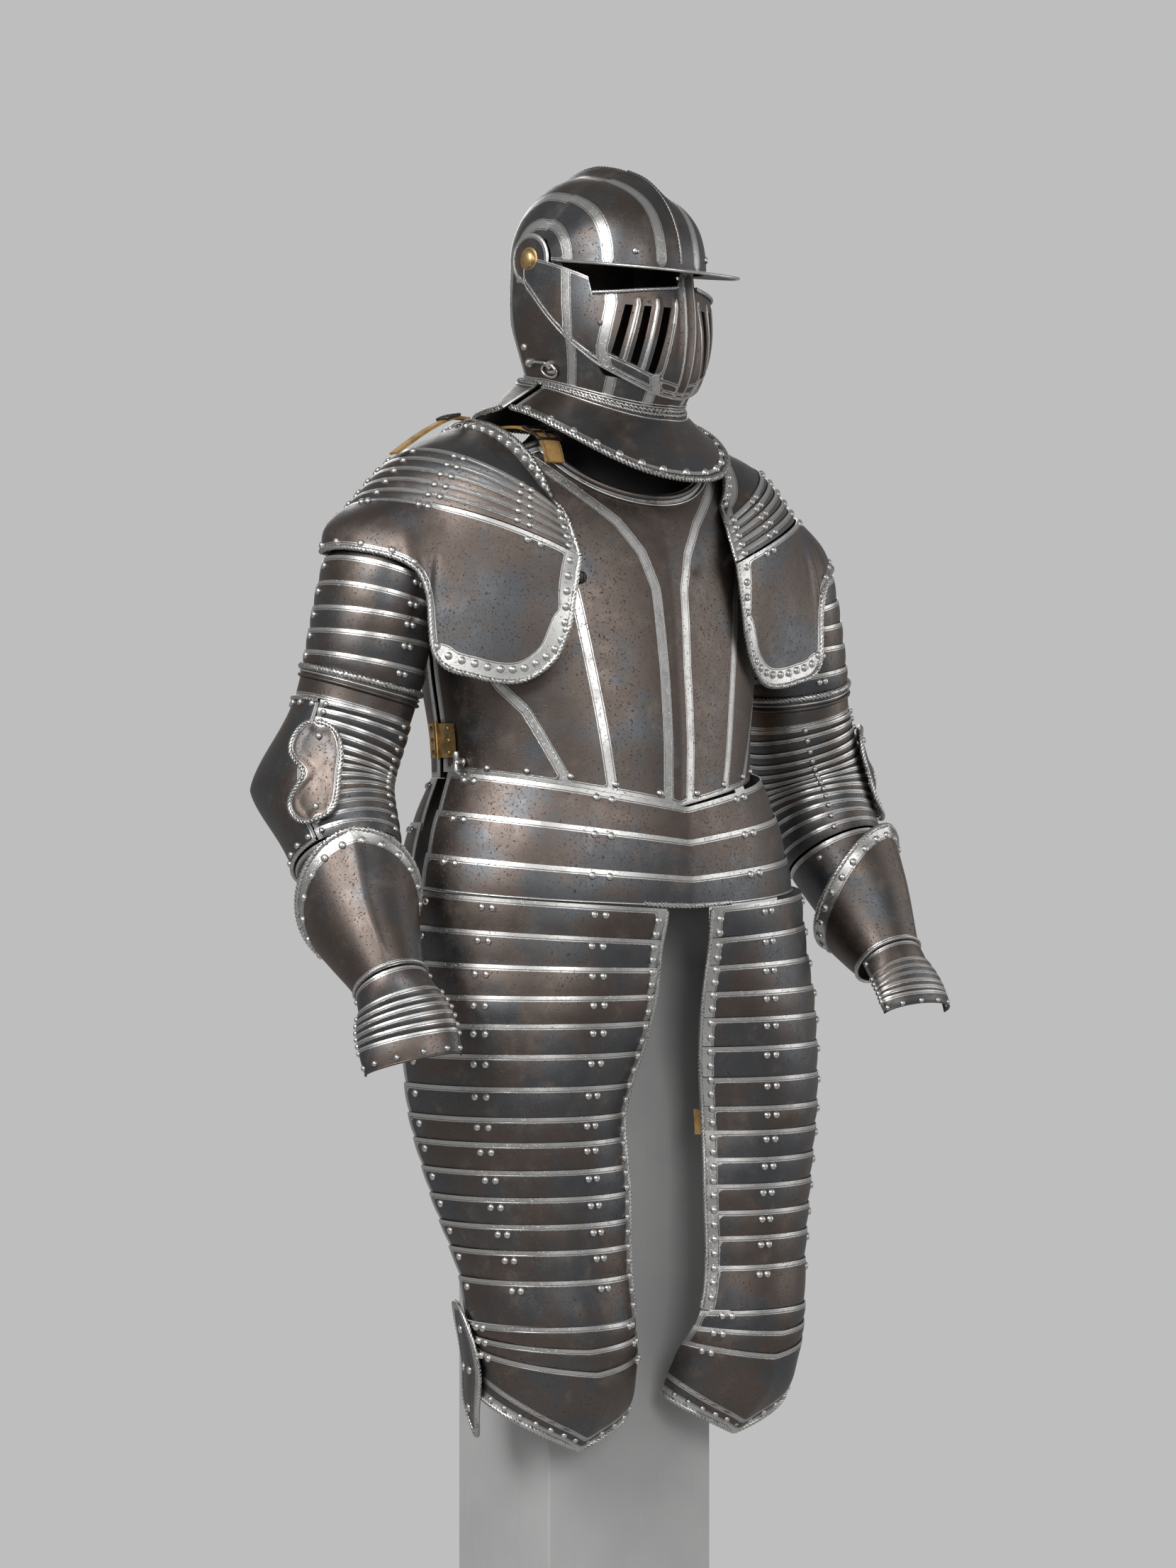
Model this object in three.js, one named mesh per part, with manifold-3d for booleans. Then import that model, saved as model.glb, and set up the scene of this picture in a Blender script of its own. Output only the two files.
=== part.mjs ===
// Suit of plate armour, helmet to knee, on a plain display post.
// Frame: millimetres, +Z up, the wearer faces -Y and the wearer's right is -X.
// The origin is the centre of the underside of the stand's foot.
import * as THREE from 'three';
import Module from 'manifold-3d';

const wasm = await Module();
wasm.setup();

// ---- Driving dimensions ---------------------------------------------------
const WALL = 2.0;
const STEP = 1.8;
const NECKLINE_Z = 1408;
const SHOULDER_Z = 1462;
const WAIST_POINT_Z = 1103;
const WAIST_SIDE_Z = 1137;
const FAULD_BOTTOM_Z = 1006;
const TASSET_TILT = 18;
const PIVOT_Z = 1645;
const PIVOT_X = -3.5;
const PIVOT_Y = -20;
const HEAD_YAW = 10;
const HELM_HALF_WIDTH = 84;
const POST_X = 197;
const POST_Y = 162;
const FOOT_SIZE = 450;
const FOOT_THICK = 20;

// ---- Materials ------------------------------------------------------------
const group = new THREE.Group();
group.name = 'suit_of_armour';
const FINISH = {
  steel: { color: 0x6b625c, roughness: 0.42, metalness: 0.9 },
  leather: { color: 0x8a6428, roughness: 0.75, metalness: 0.0 },
  brass: { color: 0xa8863f, roughness: 0.4, metalness: 0.9 },
  post: { color: 0xa9a9a9, roughness: 0.7, metalness: 0.0 },
  felt: { color: 0x101010, roughness: 0.95, metalness: 0.0 },
};

function add(name, geometry, finish) {
  const material = new THREE.MeshStandardMaterial(FINISH[finish]);
  const mesh = new THREE.Mesh(geometry, material);
  mesh.name = name;
  group.add(mesh);
  return mesh;
}

// ---- Small tools ----------------------------------------------------------
const rad = (degrees) => (degrees * Math.PI) / 180;
const mix = (a, b, t) => a + (b - a) * t;
const clamp = (t) => Math.min(1, Math.max(0, t));
const v3 = (x, y, z) => new THREE.Vector3(x, y, z);

function smooth(t) {
  const k = clamp(t);
  return k * k * (3 - 2 * k);
}

function span(from, to, count) {
  return Array.from({ length: count + 1 }, (_, i) => mix(from, to, i / count));
}

// Reads a table of rows at any place along its key column, with a smooth cubic between rows.
function sample(table, key, at) {
  const last = table.length - 1;
  const sign = Math.sign(table[last][key] - table[0][key]);
  let i = 0;
  while (i < last - 1 && (at - table[i + 1][key]) * sign > 0) {
    i += 1;
  }
  const a = table[Math.max(i - 1, 0)];
  const b = table[i];
  const c = table[i + 1];
  const d = table[Math.min(i + 2, last)];
  const t = (at - b[key]) / (c[key] - b[key]);
  const row = {};
  for (const name of Object.keys(b)) {
    const m0 = ((c[name] - a[name]) * (c[key] - b[key])) / (c[key] - a[key]);
    const m1 = ((d[name] - b[name]) * (c[key] - b[key])) / (d[key] - b[key]);
    const h00 = (1 + 2 * t) * (1 - t) * (1 - t);
    const h10 = t * (1 - t) * (1 - t);
    const h01 = t * t * (3 - 2 * t);
    const h11 = t * t * (t - 1);
    row[name] = h00 * b[name] + h10 * m0 + h01 * c[name] + h11 * m1;
  }
  return row;
}

function signedVolume(points, faces) {
  let total = 0;
  for (const [a, b, c] of faces) {
    total += points[a].dot(points[b].clone().cross(points[c]));
  }
  return total;
}

function solid(points, faces) {
  const turned = signedVolume(points, faces) < 0;
  const index = faces.flatMap(([a, b, c]) => (turned ? [a, c, b] : [a, b, c]));
  const flat = points.flatMap((p) => [p.x, p.y, p.z]);
  const geometry = new THREE.BufferGeometry();
  geometry.setAttribute('position', new THREE.Float32BufferAttribute(flat, 3));
  geometry.setIndex(index);
  geometry.computeVertexNormals();
  return geometry;
}

// Closed plate from two matching grids of points, its outer and its inner face.
// ring joins the last column to the first; open(i, j) leaves a cell out as a through hole.
function plate(outer, inner, ring = false, open = () => false) {
  const rows = outer.length;
  const cols = outer[0].length;
  const cellRows = rows - 1;
  const cellCols = ring ? cols : cols - 1;
  const points = [...outer.flat(), ...inner.flat()];
  const half = rows * cols;
  const at = (i, j) => i * cols + (j % cols);
  const faces = [];
  const quad = (a, b, c, d) => faces.push([a, b, c], [a, c, d]);
  const filled = (i, j) => {
    const jj = ring ? (j + cellCols) % cellCols : j;
    return i >= 0 && i < cellRows && jj >= 0 && jj < cellCols && !open(i, jj);
  };
  for (let i = 0; i < cellRows; i += 1) {
    for (let j = 0; j < cellCols; j += 1) {
      if (filled(i, j)) {
        const a = at(i, j);
        const b = at(i, j + 1);
        const c = at(i + 1, j + 1);
        const d = at(i + 1, j);
        quad(a, b, c, d);
        quad(d + half, c + half, b + half, a + half);
        if (!filled(i - 1, j)) quad(b, a, a + half, b + half);
        if (!filled(i + 1, j)) quad(d, c, c + half, d + half);
        if (!filled(i, j - 1)) quad(a, d, d + half, a + half);
        if (!filled(i, j + 1)) quad(c, b, b + half, c + half);
      }
    }
  }
  return solid(points, faces);
}

function normalAt(surface, c, r) {
  const e = 0.002;
  const across = surface(c + e, r).sub(surface(c - e, r));
  const along = surface(c, r + e).sub(surface(c, r - e));
  return across.cross(along).normalize();
}

// Plate on a surface: rows are [place, lift] pairs, lift being how far its outer face stands out.
// The wall is laid on the side that faces the plate's own hollow.
function shell(surface, columns, rows, options = {}) {
  const { ring = false, wall = WALL, open } = options;
  const base = rows.map(([r]) => columns.map((c) => surface(c, r)));
  const up = rows.map(([r]) => columns.map((c) => normalAt(surface, c, r)));
  const heart = v3(0, 0, 0);
  base.flat().forEach((p) => heart.addScaledVector(p, 1 / (rows.length * columns.length)));
  let facing = 0;
  base.forEach((line, i) => line.forEach((p, j) => {
    facing += up[i][j].dot(p.clone().sub(heart));
  }));
  const sign = Math.sign(facing);
  const moved = (i, by) => base[i].map((p, j) => p.clone().addScaledVector(up[i][j], sign * by));
  const outer = rows.map(([, lift], i) => moved(i, lift));
  const inner = rows.map((row, i) => moved(i, -wall));
  return plate(outer, inner, ring, open);
}

// Rows of a run of lames: each lame stands out by the step at its upper edge.
function lameRows(edges, step = STEP) {
  const rows = [];
  for (let k = 0; k < edges.length - 1; k += 1) {
    const slack = (edges[k + 1] - edges[k]) * 0.04;
    rows.push([edges[k], step]);
    rows.push([edges[k + 1] - slack, 0]);
  }
  return rows;
}

// ---- Body: breastplate, backplate, fauld and culet ------------------------
// Horizontal sections: half width, depth in front of and behind y0.
const TORSO = [
  { z: 1080, half: 176, front: 161, back: 100, y0: 0 },
  { z: 1120, half: 172, front: 160, back: 98, y0: 0 },
  { z: 1170, half: 173, front: 160, back: 104, y0: 0 },
  { z: 1240, half: 183, front: 154, back: 120, y0: 0 },
  { z: 1320, half: 190, front: 144, back: 134, y0: 0 },
  { z: 1380, half: 185, front: 129, back: 136, y0: 0 },
  { z: 1430, half: 168, front: 104, back: 126, y0: 0 },
  { z: 1490, half: 140, front: 66, back: 92, y0: 0 },
];
const HIPS = [
  { z: 1150, half: 175, front: 143, back: 92, y0: -12 },
  { z: 1130, half: 180, front: 147, back: 100, y0: -14 },
  { z: 1080, half: 201, front: 154, back: 138, y0: -18 },
  { z: 1000, half: 221, front: 158, back: 165, y0: -21 },
  { z: 940, half: 226, front: 160, back: 172, y0: -21 },
];
const RIDGE = 5;

// turn runs from 0 at the front to 90 at the wearer's left and 180 at the back.
function bodyPoint(table, turn, z) {
  const s = sample(table, 'z', z);
  const c = Math.cos(rad(turn));
  const depth = c > 0 ? s.front : s.back;
  const ridge = RIDGE * Math.pow(Math.max(0, 1 - Math.abs(turn) / 24), 1.5);
  return v3(s.half * Math.sin(rad(turn)), s.y0 - depth * c - ridge, z);
}

function waistZ(c) {
  const drop = Math.pow(Math.max(0, 1 - Math.abs(c)), 1.6);
  return WAIST_SIDE_Z - (WAIST_SIDE_Z - WAIST_POINT_Z) * drop;
}

function breastTopZ(c) {
  const k = Math.abs(c);
  if (k < 0.45) {
    return mix(NECKLINE_Z, SHOULDER_Z, Math.pow(k / 0.45, 2));
  }
  return k < 0.58
    ? mix(SHOULDER_Z, SHOULDER_Z - 10, (k - 0.45) / 0.13)
    : mix(SHOULDER_Z - 10, 1322, Math.pow((k - 0.58) / 0.42, 0.55));
}

function backTopZ(c) {
  const k = Math.abs(c);
  if (k < 0.45) {
    return mix(SHOULDER_Z - 6, SHOULDER_Z + 4, Math.pow(k / 0.45, 2));
  }
  return k < 0.58
    ? mix(SHOULDER_Z + 4, SHOULDER_Z - 4, (k - 0.45) / 0.13)
    : mix(SHOULDER_Z - 4, 1322, Math.pow((k - 0.58) / 0.42, 0.55));
}

const breastAt = (c, r) => bodyPoint(TORSO, 88.6 * c, mix(breastTopZ(c), waistZ(c), r));
const backAt = (c, r) => bodyPoint(TORSO, 180 - 88.6 * c, mix(backTopZ(c), WAIST_SIDE_Z - 6, r));
const HALF_COLUMNS = [0.12, 0.28, 0.45, 0.58, 0.71, 0.85, 1];
const FRONT_COLUMNS = [...HALF_COLUMNS.map((c) => -c).reverse(), 0, ...HALF_COLUMNS];
const BODY_ROWS = [[0, 2.2], [0.03, 2.2], [0.04, 0], [0.42, 0], [0.8, 0], [1, 0]];
add('breastplate', shell(breastAt, FRONT_COLUMNS, BODY_ROWS), 'steel');
add('backplate', shell(backAt, FRONT_COLUMNS, BODY_ROWS), 'steel');

function fauldZ(c, r) {
  const low = FAULD_BOTTOM_Z + TASSET_TILT * Math.pow(Math.abs(c), 1.2);
  return mix(waistZ(c) - 1, low, r);
}

const fauldAt = (c, r) => bodyPoint(HIPS, 86 * c, fauldZ(c, r));
const culetAt = (c, r) => bodyPoint(HIPS, 180 - 86 * c, mix(WAIST_SIDE_Z - 7, 1010, r));
add('fauld', shell(fauldAt, span(-1, 1, 12), lameRows([0, 0.33, 0.7, 1])), 'steel');
add('culet', shell(culetAt, span(-1, 1, 10), lameRows([0, 0.36, 0.7, 1])), 'steel');

// ---- Legs: thigh lames, knee lames and knee plate, knee wing ---------------
// Sections of one leg, outward positive: centre, radii and the turn of its two edges.
const LEG = [
  { z: 1040, cx: 36, cy: -21, rx: 184, ry: 160, inner: -3, outer: 85 },
  { z: 1000, cx: 46, cy: -22, rx: 177, ry: 157, inner: -6, outer: 87 },
  { z: 960, cx: 66, cy: -27, rx: 160, ry: 147, inner: -13, outer: 90 },
  { z: 900, cx: 93, cy: -35, rx: 137, ry: 138, inner: -27, outer: 95 },
  { z: 810, cx: 119, cy: -44, rx: 107, ry: 124, inner: -42, outer: 100 },
  { z: 730, cx: 112, cy: -60, rx: 101, ry: 106, inner: -40, outer: 100 },
  { z: 650, cx: 108, cy: -82, rx: 86, ry: 88, inner: -45, outer: 102 },
  { z: 600, cx: 105, cy: -88, rx: 83, ry: 88, inner: -52, outer: 104 },
  { z: 560, cx: 101, cy: -89, rx: 81, ry: 87, inner: -68, outer: 105 },
  { z: 520, cx: 98, cy: -83, rx: 78, ry: 82, inner: -76, outer: 105 },
  { z: 478, cx: 95, cy: -72, rx: 64, ry: 52, inner: -76, outer: 105 },
];
const THIGH_EDGES = [1016, 984, 952, 922, 895, 866, 835, 806, 782, 755, 729, 703, 678, 649, 606];
const KNEE_EDGES = [605, 583, 563];
const KNEE_LOW = { tip: 478, tipAt: 0.42, inner: 520, outer: 540 };

function legSurface(side, turn, z) {
  const s = sample(LEG, 'z', z);
  return v3(side * (s.cx + s.rx * Math.sin(rad(turn))), s.cy - s.ry * Math.cos(rad(turn)), z);
}

function legPoint(side, c, z) {
  const s = sample(LEG, 'z', z);
  return legSurface(side, mix(s.inner, s.outer, c), z);
}

function kneeZ(c, r) {
  const k = c - KNEE_LOW.tipAt;
  const away = k < 0 ? -k / KNEE_LOW.tipAt : k / (1 - KNEE_LOW.tipAt);
  const side = k < 0 ? KNEE_LOW.inner : KNEE_LOW.outer;
  const low = mix(KNEE_LOW.tip, side, Math.pow(away, 1.1));
  return mix(KNEE_EDGES[0], low, r);
}

function leg(side, label) {
  const tilt = (c) => mix(-0.67, 0.33, c) * TASSET_TILT;
  const thigh = (c, r) => legPoint(side, c, r + tilt(c) * smooth((r - 900) / 110));
  const rows = lameRows(THIGH_EDGES);
  add(`tasset_${label}`, shell(thigh, span(0, 1, 4), rows), 'steel');
  const knee = (c, r) => legPoint(side, c, kneeZ(c, r));
  const lames = [[0, STEP], [0.17, 0], [0.18, STEP], [0.34, 0], [0.35, STEP], [0.55, 0.6], [0.78, 0], [1, 0]];
  add(`knee_${label}`, shell(knee, span(0, 1, 6), lames), 'steel');
}

leg(-1, 'right');
leg(1, 'left');

// ---- Shoulders: top plate, narrow lames, main plate with wings -------------
// Each row is one ring over the shoulder: its front end, outermost point and back end.
const PAULDRON = [
  { r: 0, fx: 112, fy: -101, fz: 1402, mx: 126, my: 5, mz: 1484, bx: 112, by: 104, bz: 1430 },
  { r: 1, fx: 104, fy: -117, fz: 1386, mx: 198, my: 2, mz: 1454, bx: 128, by: 108, bz: 1392 },
  { r: 2, fx: 101, fy: -139, fz: 1345, mx: 252, my: 0, mz: 1402, bx: 156, by: 108, bz: 1335 },
];
// Lower edge of the main plate from the front border round the arm to the back border.
const WING_EDGE = [
  { c: 0, x: 113, y: -139, z: 1278 },
  { c: 0.07, x: 126, y: -129, z: 1244 },
  { c: 0.14, x: 152, y: -113, z: 1224 },
  { c: 0.22, x: 190, y: -100, z: 1228 },
  { c: 0.29, x: 222, y: -88, z: 1248 },
  { c: 0.33, x: 228, y: -84, z: 1308 },
  { c: 0.39, x: 248, y: -74, z: 1336 },
  { c: 0.5, x: 292, y: -30, z: 1352 },
  { c: 0.6, x: 294, y: 24, z: 1352 },
  { c: 0.68, x: 254, y: 64, z: 1342 },
  { c: 0.75, x: 212, y: 84, z: 1270 },
  { c: 0.85, x: 168, y: 104, z: 1246 },
  { c: 0.93, x: 140, y: 118, z: 1266 },
  { c: 1, x: 128, y: 124, z: 1312 },
];
const LEFT_REACH = 14;

function pauldronPoint(side, c, r) {
  const s = sample(PAULDRON, 'r', r);
  const turn = rad(mix(-90, 90, c));
  const front = v3(s.fx, s.fy, s.fz);
  const back = v3(s.bx, s.by, s.bz);
  const middle = front.clone().add(back).multiplyScalar(0.5);
  const out = v3(s.mx, s.my, s.mz).sub(middle);
  const p = middle.clone().addScaledVector(out, Math.cos(turn));
  p.addScaledVector(back.clone().sub(middle), Math.sin(turn));
  const reach = side > 0 ? LEFT_REACH * Math.pow(1 - clamp(c / 0.5), 2) : 0;
  return v3(side * (p.x - reach), p.y, p.z);
}

function mainPlatePoint(side, c, t) {
  const top = pauldronPoint(side, c, 2.02);
  const s = sample(WING_EDGE, 'c', clamp(c));
  const reach = side > 0 ? LEFT_REACH * Math.pow(1 - clamp(c / 0.5), 2) : 0;
  const low = v3(side * (s.x - reach), s.y, s.z);
  const bulge = 12 * Math.sin(Math.PI * clamp(t)) * Math.sin(Math.PI * clamp(c));
  const p = top.lerp(low, t);
  p.x += side * bulge * 0.9;
  p.z += bulge * 0.3;
  return p;
}

// ---- Arms: rings of centre and radii down the limb, outward positive -------
const UPPER_ARM = [
  { s: 0, x: 229, y: -4, z: 1372, rx: 57, ry: 63, roll: 0 },
  { s: 1, x: 251, y: -4, z: 1306, rx: 55, ry: 61, roll: 0 },
  { s: 2, x: 262, y: -2, z: 1240, rx: 58, ry: 60, roll: 0 },
  { s: 3, x: 275, y: 4, z: 1186, rx: 57, ry: 58, roll: 0 },
  { s: 4, x: 294, y: 2, z: 1126, rx: 57, ry: 58, roll: 0 },
];
const FOREARM = {
  right: [
    ...UPPER_ARM.slice(2),
    { s: 5, x: 298, y: -24, z: 1066, rx: 53, ry: 55, roll: 0 },
    { s: 6, x: 306, y: -70, z: 1000, rx: 43, ry: 46, roll: 10 },
    { s: 7, x: 305, y: -118, z: 938, rx: 34, ry: 34, roll: 30 },
    { s: 8, x: 304, y: -140, z: 902, rx: 45, ry: 24, roll: 35 },
    { s: 9, x: 303, y: -155, z: 862, rx: 46, ry: 22, roll: 35 },
  ],
  left: [
    ...UPPER_ARM.slice(2),
    { s: 5, x: 298, y: -22, z: 1066, rx: 53, ry: 55, roll: 0 },
    { s: 6, x: 306, y: -64, z: 1003, rx: 43, ry: 46, roll: 0 },
    { s: 7, x: 306, y: -110, z: 944, rx: 34, ry: 34, roll: 5 },
    { s: 8, x: 308, y: -140, z: 914, rx: 44, ry: 24, roll: 8 },
    { s: 9, x: 309, y: -152, z: 892, rx: 45, ry: 22, roll: 8 },
  ],
};

// turn runs from 0 at the front of the limb to 90 on its outer side and 180 at the back.
function limbPoint(table, side, turn, s) {
  const here = sample(table, 's', s);
  const before = sample(table, 's', s - 0.02);
  const after = sample(table, 's', s + 0.02);
  const along = v3(after.x - before.x, after.y - before.y, after.z - before.z).normalize();
  const front = v3(0, -1, 0);
  front.addScaledVector(along, -front.dot(along)).normalize();
  const out = along.clone().cross(front).normalize();
  if (out.x < 0) {
    out.negate();
  }
  const flat = front.clone().multiplyScalar(Math.cos(rad(here.roll)));
  flat.addScaledVector(out, Math.sin(rad(here.roll)));
  const wide = out.multiplyScalar(Math.cos(rad(here.roll)));
  wide.addScaledVector(front, -Math.sin(rad(here.roll)));
  const p = v3(here.x, here.y, here.z);
  p.addScaledVector(wide, here.rx * Math.sin(rad(turn - here.roll)));
  p.addScaledVector(flat, here.ry * Math.cos(rad(turn - here.roll)));
  return v3(side * p.x, p.y, p.z);
}

const ARM_LAME_EDGES = [0.66, 0.97, 1.26, 1.56, 1.93, 2.2];
const TURNER_ROWS = [[2.22, 3], [2.29, 3], [2.35, 0.8], [2.46, 2.4]];
const ELBOW = { s: 4.0, turn: 158, point: 36 };
const ELBOW_SPAN = { from: 2.84, to: 5.2 };
const CUFF = { wrist: 7.02, apex: 5.3, drop: 0.95, apexTurn: 30 };

function arm(side, label) {
  const forearm = FOREARM[label];
  const tube = { ring: true };
  const over = (c, r) => pauldronPoint(side, c, r);
  const around = span(0, 1, 7);
  add(`pauldron_top_${label}`, shell(over, around, [[0, 1.5], [0.12, 0], [0.98, 0]]), 'steel');
  const narrow = lameRows([1, 1.2, 1.4, 1.6, 1.8, 1.99]);
  add(`pauldron_lames_${label}`, shell(over, around, narrow), 'steel');
  const main = (c, t) => mainPlatePoint(side, c, t);
  const extra = [0.105, 0.18, 0.36, 0.445, 0.55, 0.64];
  const mainColumns = [...WING_EDGE.map((row) => row.c), ...extra].sort((a, b) => a - b);
  const mainRows = [[0, STEP], [0.5, 0.4], [1, 0.4]];
  add(`pauldron_main_${label}`, shell(main, mainColumns, mainRows), 'steel');

  const upper = (turn, s) => limbPoint(UPPER_ARM, side, turn, s);
  const all = span(0, 320, 8);
  add(`arm_lames_${label}`, shell(upper, all, lameRows(ARM_LAME_EDGES), tube), 'steel');
  add(`turner_${label}`, shell(upper, all, TURNER_ROWS, tube), 'steel');
  add(`upper_cannon_${label}`, shell(upper, all, [[2.48, 0], [2.8, 0]], tube), 'steel');

  const centreAt = (s) => {
    const row = sample(forearm, 's', s);
    return v3(side * row.x, row.y, row.z);
  };
  const inner = (turn, s) => limbPoint(forearm, side, turn, s);
  const raised = (turn, s, push) => {
    const p = inner(turn, s);
    return p.addScaledVector(p.clone().sub(centreAt(s)).normalize(), push);
  };
  const cop = (turn, s) => {
    const a = (turn - ELBOW.turn) / 40;
    const b = (s - ELBOW.s) / 0.45;
    return raised(turn, s, ELBOW.point * Math.exp(-a * a - b * b));
  };
  const copTurns = [66, 90, 115, 138, 158, 178, 204, 230];
  const copRows = [2.84, 3.3, 3.7, 4, 4.3, 4.7, 5.2].map((s) => [s, 0]);
  add(`elbow_cop_${label}`, shell(cop, copTurns, copRows), 'steel');
  const bends = lameRows(span(ELBOW_SPAN.from, ELBOW_SPAN.to, 13), 1.6);
  add(`elbow_lames_${label}`, shell(inner, span(-128, 64, 4), bends), 'steel');
  // The wing stands off the cop: an upright heart, its notch towards the elbow point.
  const wing = (c, t) => {
    const half = 15 + 11 * Math.sin(Math.PI * clamp(0.08 + 0.84 * t));
    const notch = 9 * Math.exp(-Math.pow((t - 0.5) / 0.16, 2));
    const turn = 52 + half * c + (c > 0 ? -notch * c : 0);
    return raised(turn, mix(3.2, 4.85, t), 7);
  };
  const wingRows = [0, 0.2, 0.5, 0.8, 1].map((t) => [t, 0]);
  add(`elbow_wing_${label}`, shell(wing, span(-1, 1, 4), wingRows), 'steel');
  const lower = [[5.24, 0], [6.2, 0]];
  add(`lower_cannon_${label}`, shell(inner, all, lower, tube), 'steel');

  const lag = (turn) => (1 - Math.cos(rad(turn - CUFF.apexTurn))) / 2;
  const openAt = (turn) => CUFF.apex + CUFF.drop * Math.pow(lag(turn), 0.8);
  const cuff = (turn, t) => raised(turn, mix(CUFF.wrist, openAt(turn), t), mix(1, 14, clamp(t)));
  const cuffRows = [[0, 1.5], [0.1, 0], [0.55, 0], [1, 0.5]];
  add(`gauntlet_cuff_${label}`, shell(cuff, all, cuffRows, tube), 'steel');
  const handTurns = span(-96, 96, 5).map((a) => a + forearm[6].roll);
  const handRows = lameRows([7.06, 7.3, 7.56, 7.82, 8.08, 8.34, 8.6, 9], 1.6);
  add(`gauntlet_hand_${label}`, shell(inner, handTurns, handRows), 'steel');
}

arm(-1, 'right');
arm(1, 'left');

// ---- Helmet: everything is set out from the pivot axis of the visor ---------
// forward, left and up are measured from the middle of that axis, and the head is turned.
const SKULL_RADIUS = [
  { a: -12, r: 119 },
  { a: 0, r: 118 },
  { a: 20, r: 113 },
  { a: 45, r: 102 },
  { a: 62, r: 96.5 },
  { a: 75, r: 94.5 },
  { a: 90, r: 94 },
  { a: 110, r: 91 },
  { a: 145, r: 86 },
  { a: 180, r: 82 },
  { a: 190, r: 82 },
];
const HEAD = [
  { q: -0.2, front: 116, half: 84, back: 81 },
  { q: 0, front: 119, half: 84, back: 82 },
  { q: 0.15, front: 121, half: 85, back: 82 },
  { q: 0.35, front: 125, half: 86, back: 82 },
  { q: 0.55, front: 125, half: 84, back: 79 },
  { q: 0.75, front: 118, half: 78, back: 71 },
  { q: 0.9, front: 104, half: 73, back: 65 },
  { q: 1, front: 92, half: 70, back: 62 },
];
const HELM_POWER = 0.85;
const COMB = { height: 10, width: 6 };
const LAYER = { skull: -4.5, bevor: 0, visor: 5.6 };
const COLLAR_Q = 0.95;

function helmet(forward, left, up) {
  const yaw = rad(HEAD_YAW);
  const x = PIVOT_X + forward * Math.sin(yaw) + left * Math.cos(yaw);
  const y = PIVOT_Y - forward * Math.cos(yaw) + left * Math.sin(yaw);
  return v3(x, y, PIVOT_Z + up);
}

const swell = (value) => Math.sign(value) * Math.pow(Math.abs(value), HELM_POWER);

// a turns from 0 forward through 90 up to 180 back; b runs across from ear to ear.
function domePoint(b, a, layer) {
  const s = sample(SKULL_RADIUS, 'a', a);
  const comb = COMB.height * Math.exp(-Math.pow(b / COMB.width, 2)) * smooth((a - 14) / 40);
  const reach = (s.r + layer) * Math.pow(Math.cos(rad(b)), HELM_POWER) + comb;
  const left = (HELM_HALF_WIDTH + layer) * swell(Math.sin(rad(b)));
  return helmet(reach * Math.cos(rad(a)), left, reach * Math.sin(rad(a)));
}

const dropAt = (c) => 128 + 32 * Math.max(0, c) - 15 * Math.max(0, -c);

// turn is 0 at the face and 180 at the nape; q runs from the pivot level down to the collar.
function headPoint(turn, q, layer) {
  const s = sample(HEAD, 'q', q);
  const c = Math.cos(rad(turn));
  const length = (c > 0 ? s.front : s.back) + layer;
  const keel = 5 * Math.pow(Math.max(0, 1 - Math.abs(turn) / 26), 2);
  return helmet(length * swell(c) + keel, (s.half + layer) * swell(Math.sin(rad(turn))), -q * dropAt(c));
}

// Skull: over the dome, then down the nape to the collar.
const skullAt = (b, r) => (r <= 1
  ? domePoint(b, mix(50, 180, r), LAYER.skull)
  : headPoint(180 - b, (r - 1) * COLLAR_Q, LAYER.skull));
const skullColumns = [-79, -60, -40, -22, -7, 0, 7, 22, 40, 60, 79];
const skullRows = [0, 0.25, 0.5, 0.75, 1, 1.5, 1.99].map((r) => [r, 0]);
add('helmet_skull', shell(skullAt, skullColumns, skullRows), 'steel');

// Bevor: round the chin and up both sides to the pivots, under the visor.
const bevorTop = (turn) => mix(0.66, -0.12, smooth((Math.abs(turn) - 30) / 45));
const bevorAt = (turn, r) => headPoint(turn, mix(bevorTop(turn), COLLAR_Q - 0.006, r), LAYER.bevor);
const bevorRows = [0, 0.3, 0.55, 0.78, 1].map((r) => [r, 0]);
add('helmet_bevor', shell(bevorAt, span(-112, 112, 14), bevorRows), 'steel');

// Visor: the face guard, with a sight under the peak and three slots on each side of its keel.
const visorLow = (turn) => mix(0.88, 0.2, Math.pow(clamp((Math.abs(turn) - 8) / 64), 1.3));
const visorAt = (turn, r) => headPoint(turn, mix(0.125, visorLow(turn), r), LAYER.visor);
const visorHalf = [5, 9.5, 14, 19, 25.5, 31, 37, 42.5, 50, 60, 72];
const visorColumns = [...visorHalf.slice().reverse().map((a) => -a), ...visorHalf];
const visorRows = [0, 0.05, 0.19, 0.27, 0.62, 0.8, 1].map((r) => [r, 0]);
const slotCells = [2, 4, 6];
const sightCells = [1, 2, 3, 4, 5, 6, 7];
function visorOpen(i, j) {
  const k = j < 10 ? 9 - j : j - 11;
  if (j === 10) {
    return false;
  }
  return (i === 1 && sightCells.includes(k)) || (i === 3 && slotCells.includes(k));
}
add('helmet_visor', shell(visorAt, visorColumns, visorRows, { open: visorOpen }), 'steel');

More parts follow.
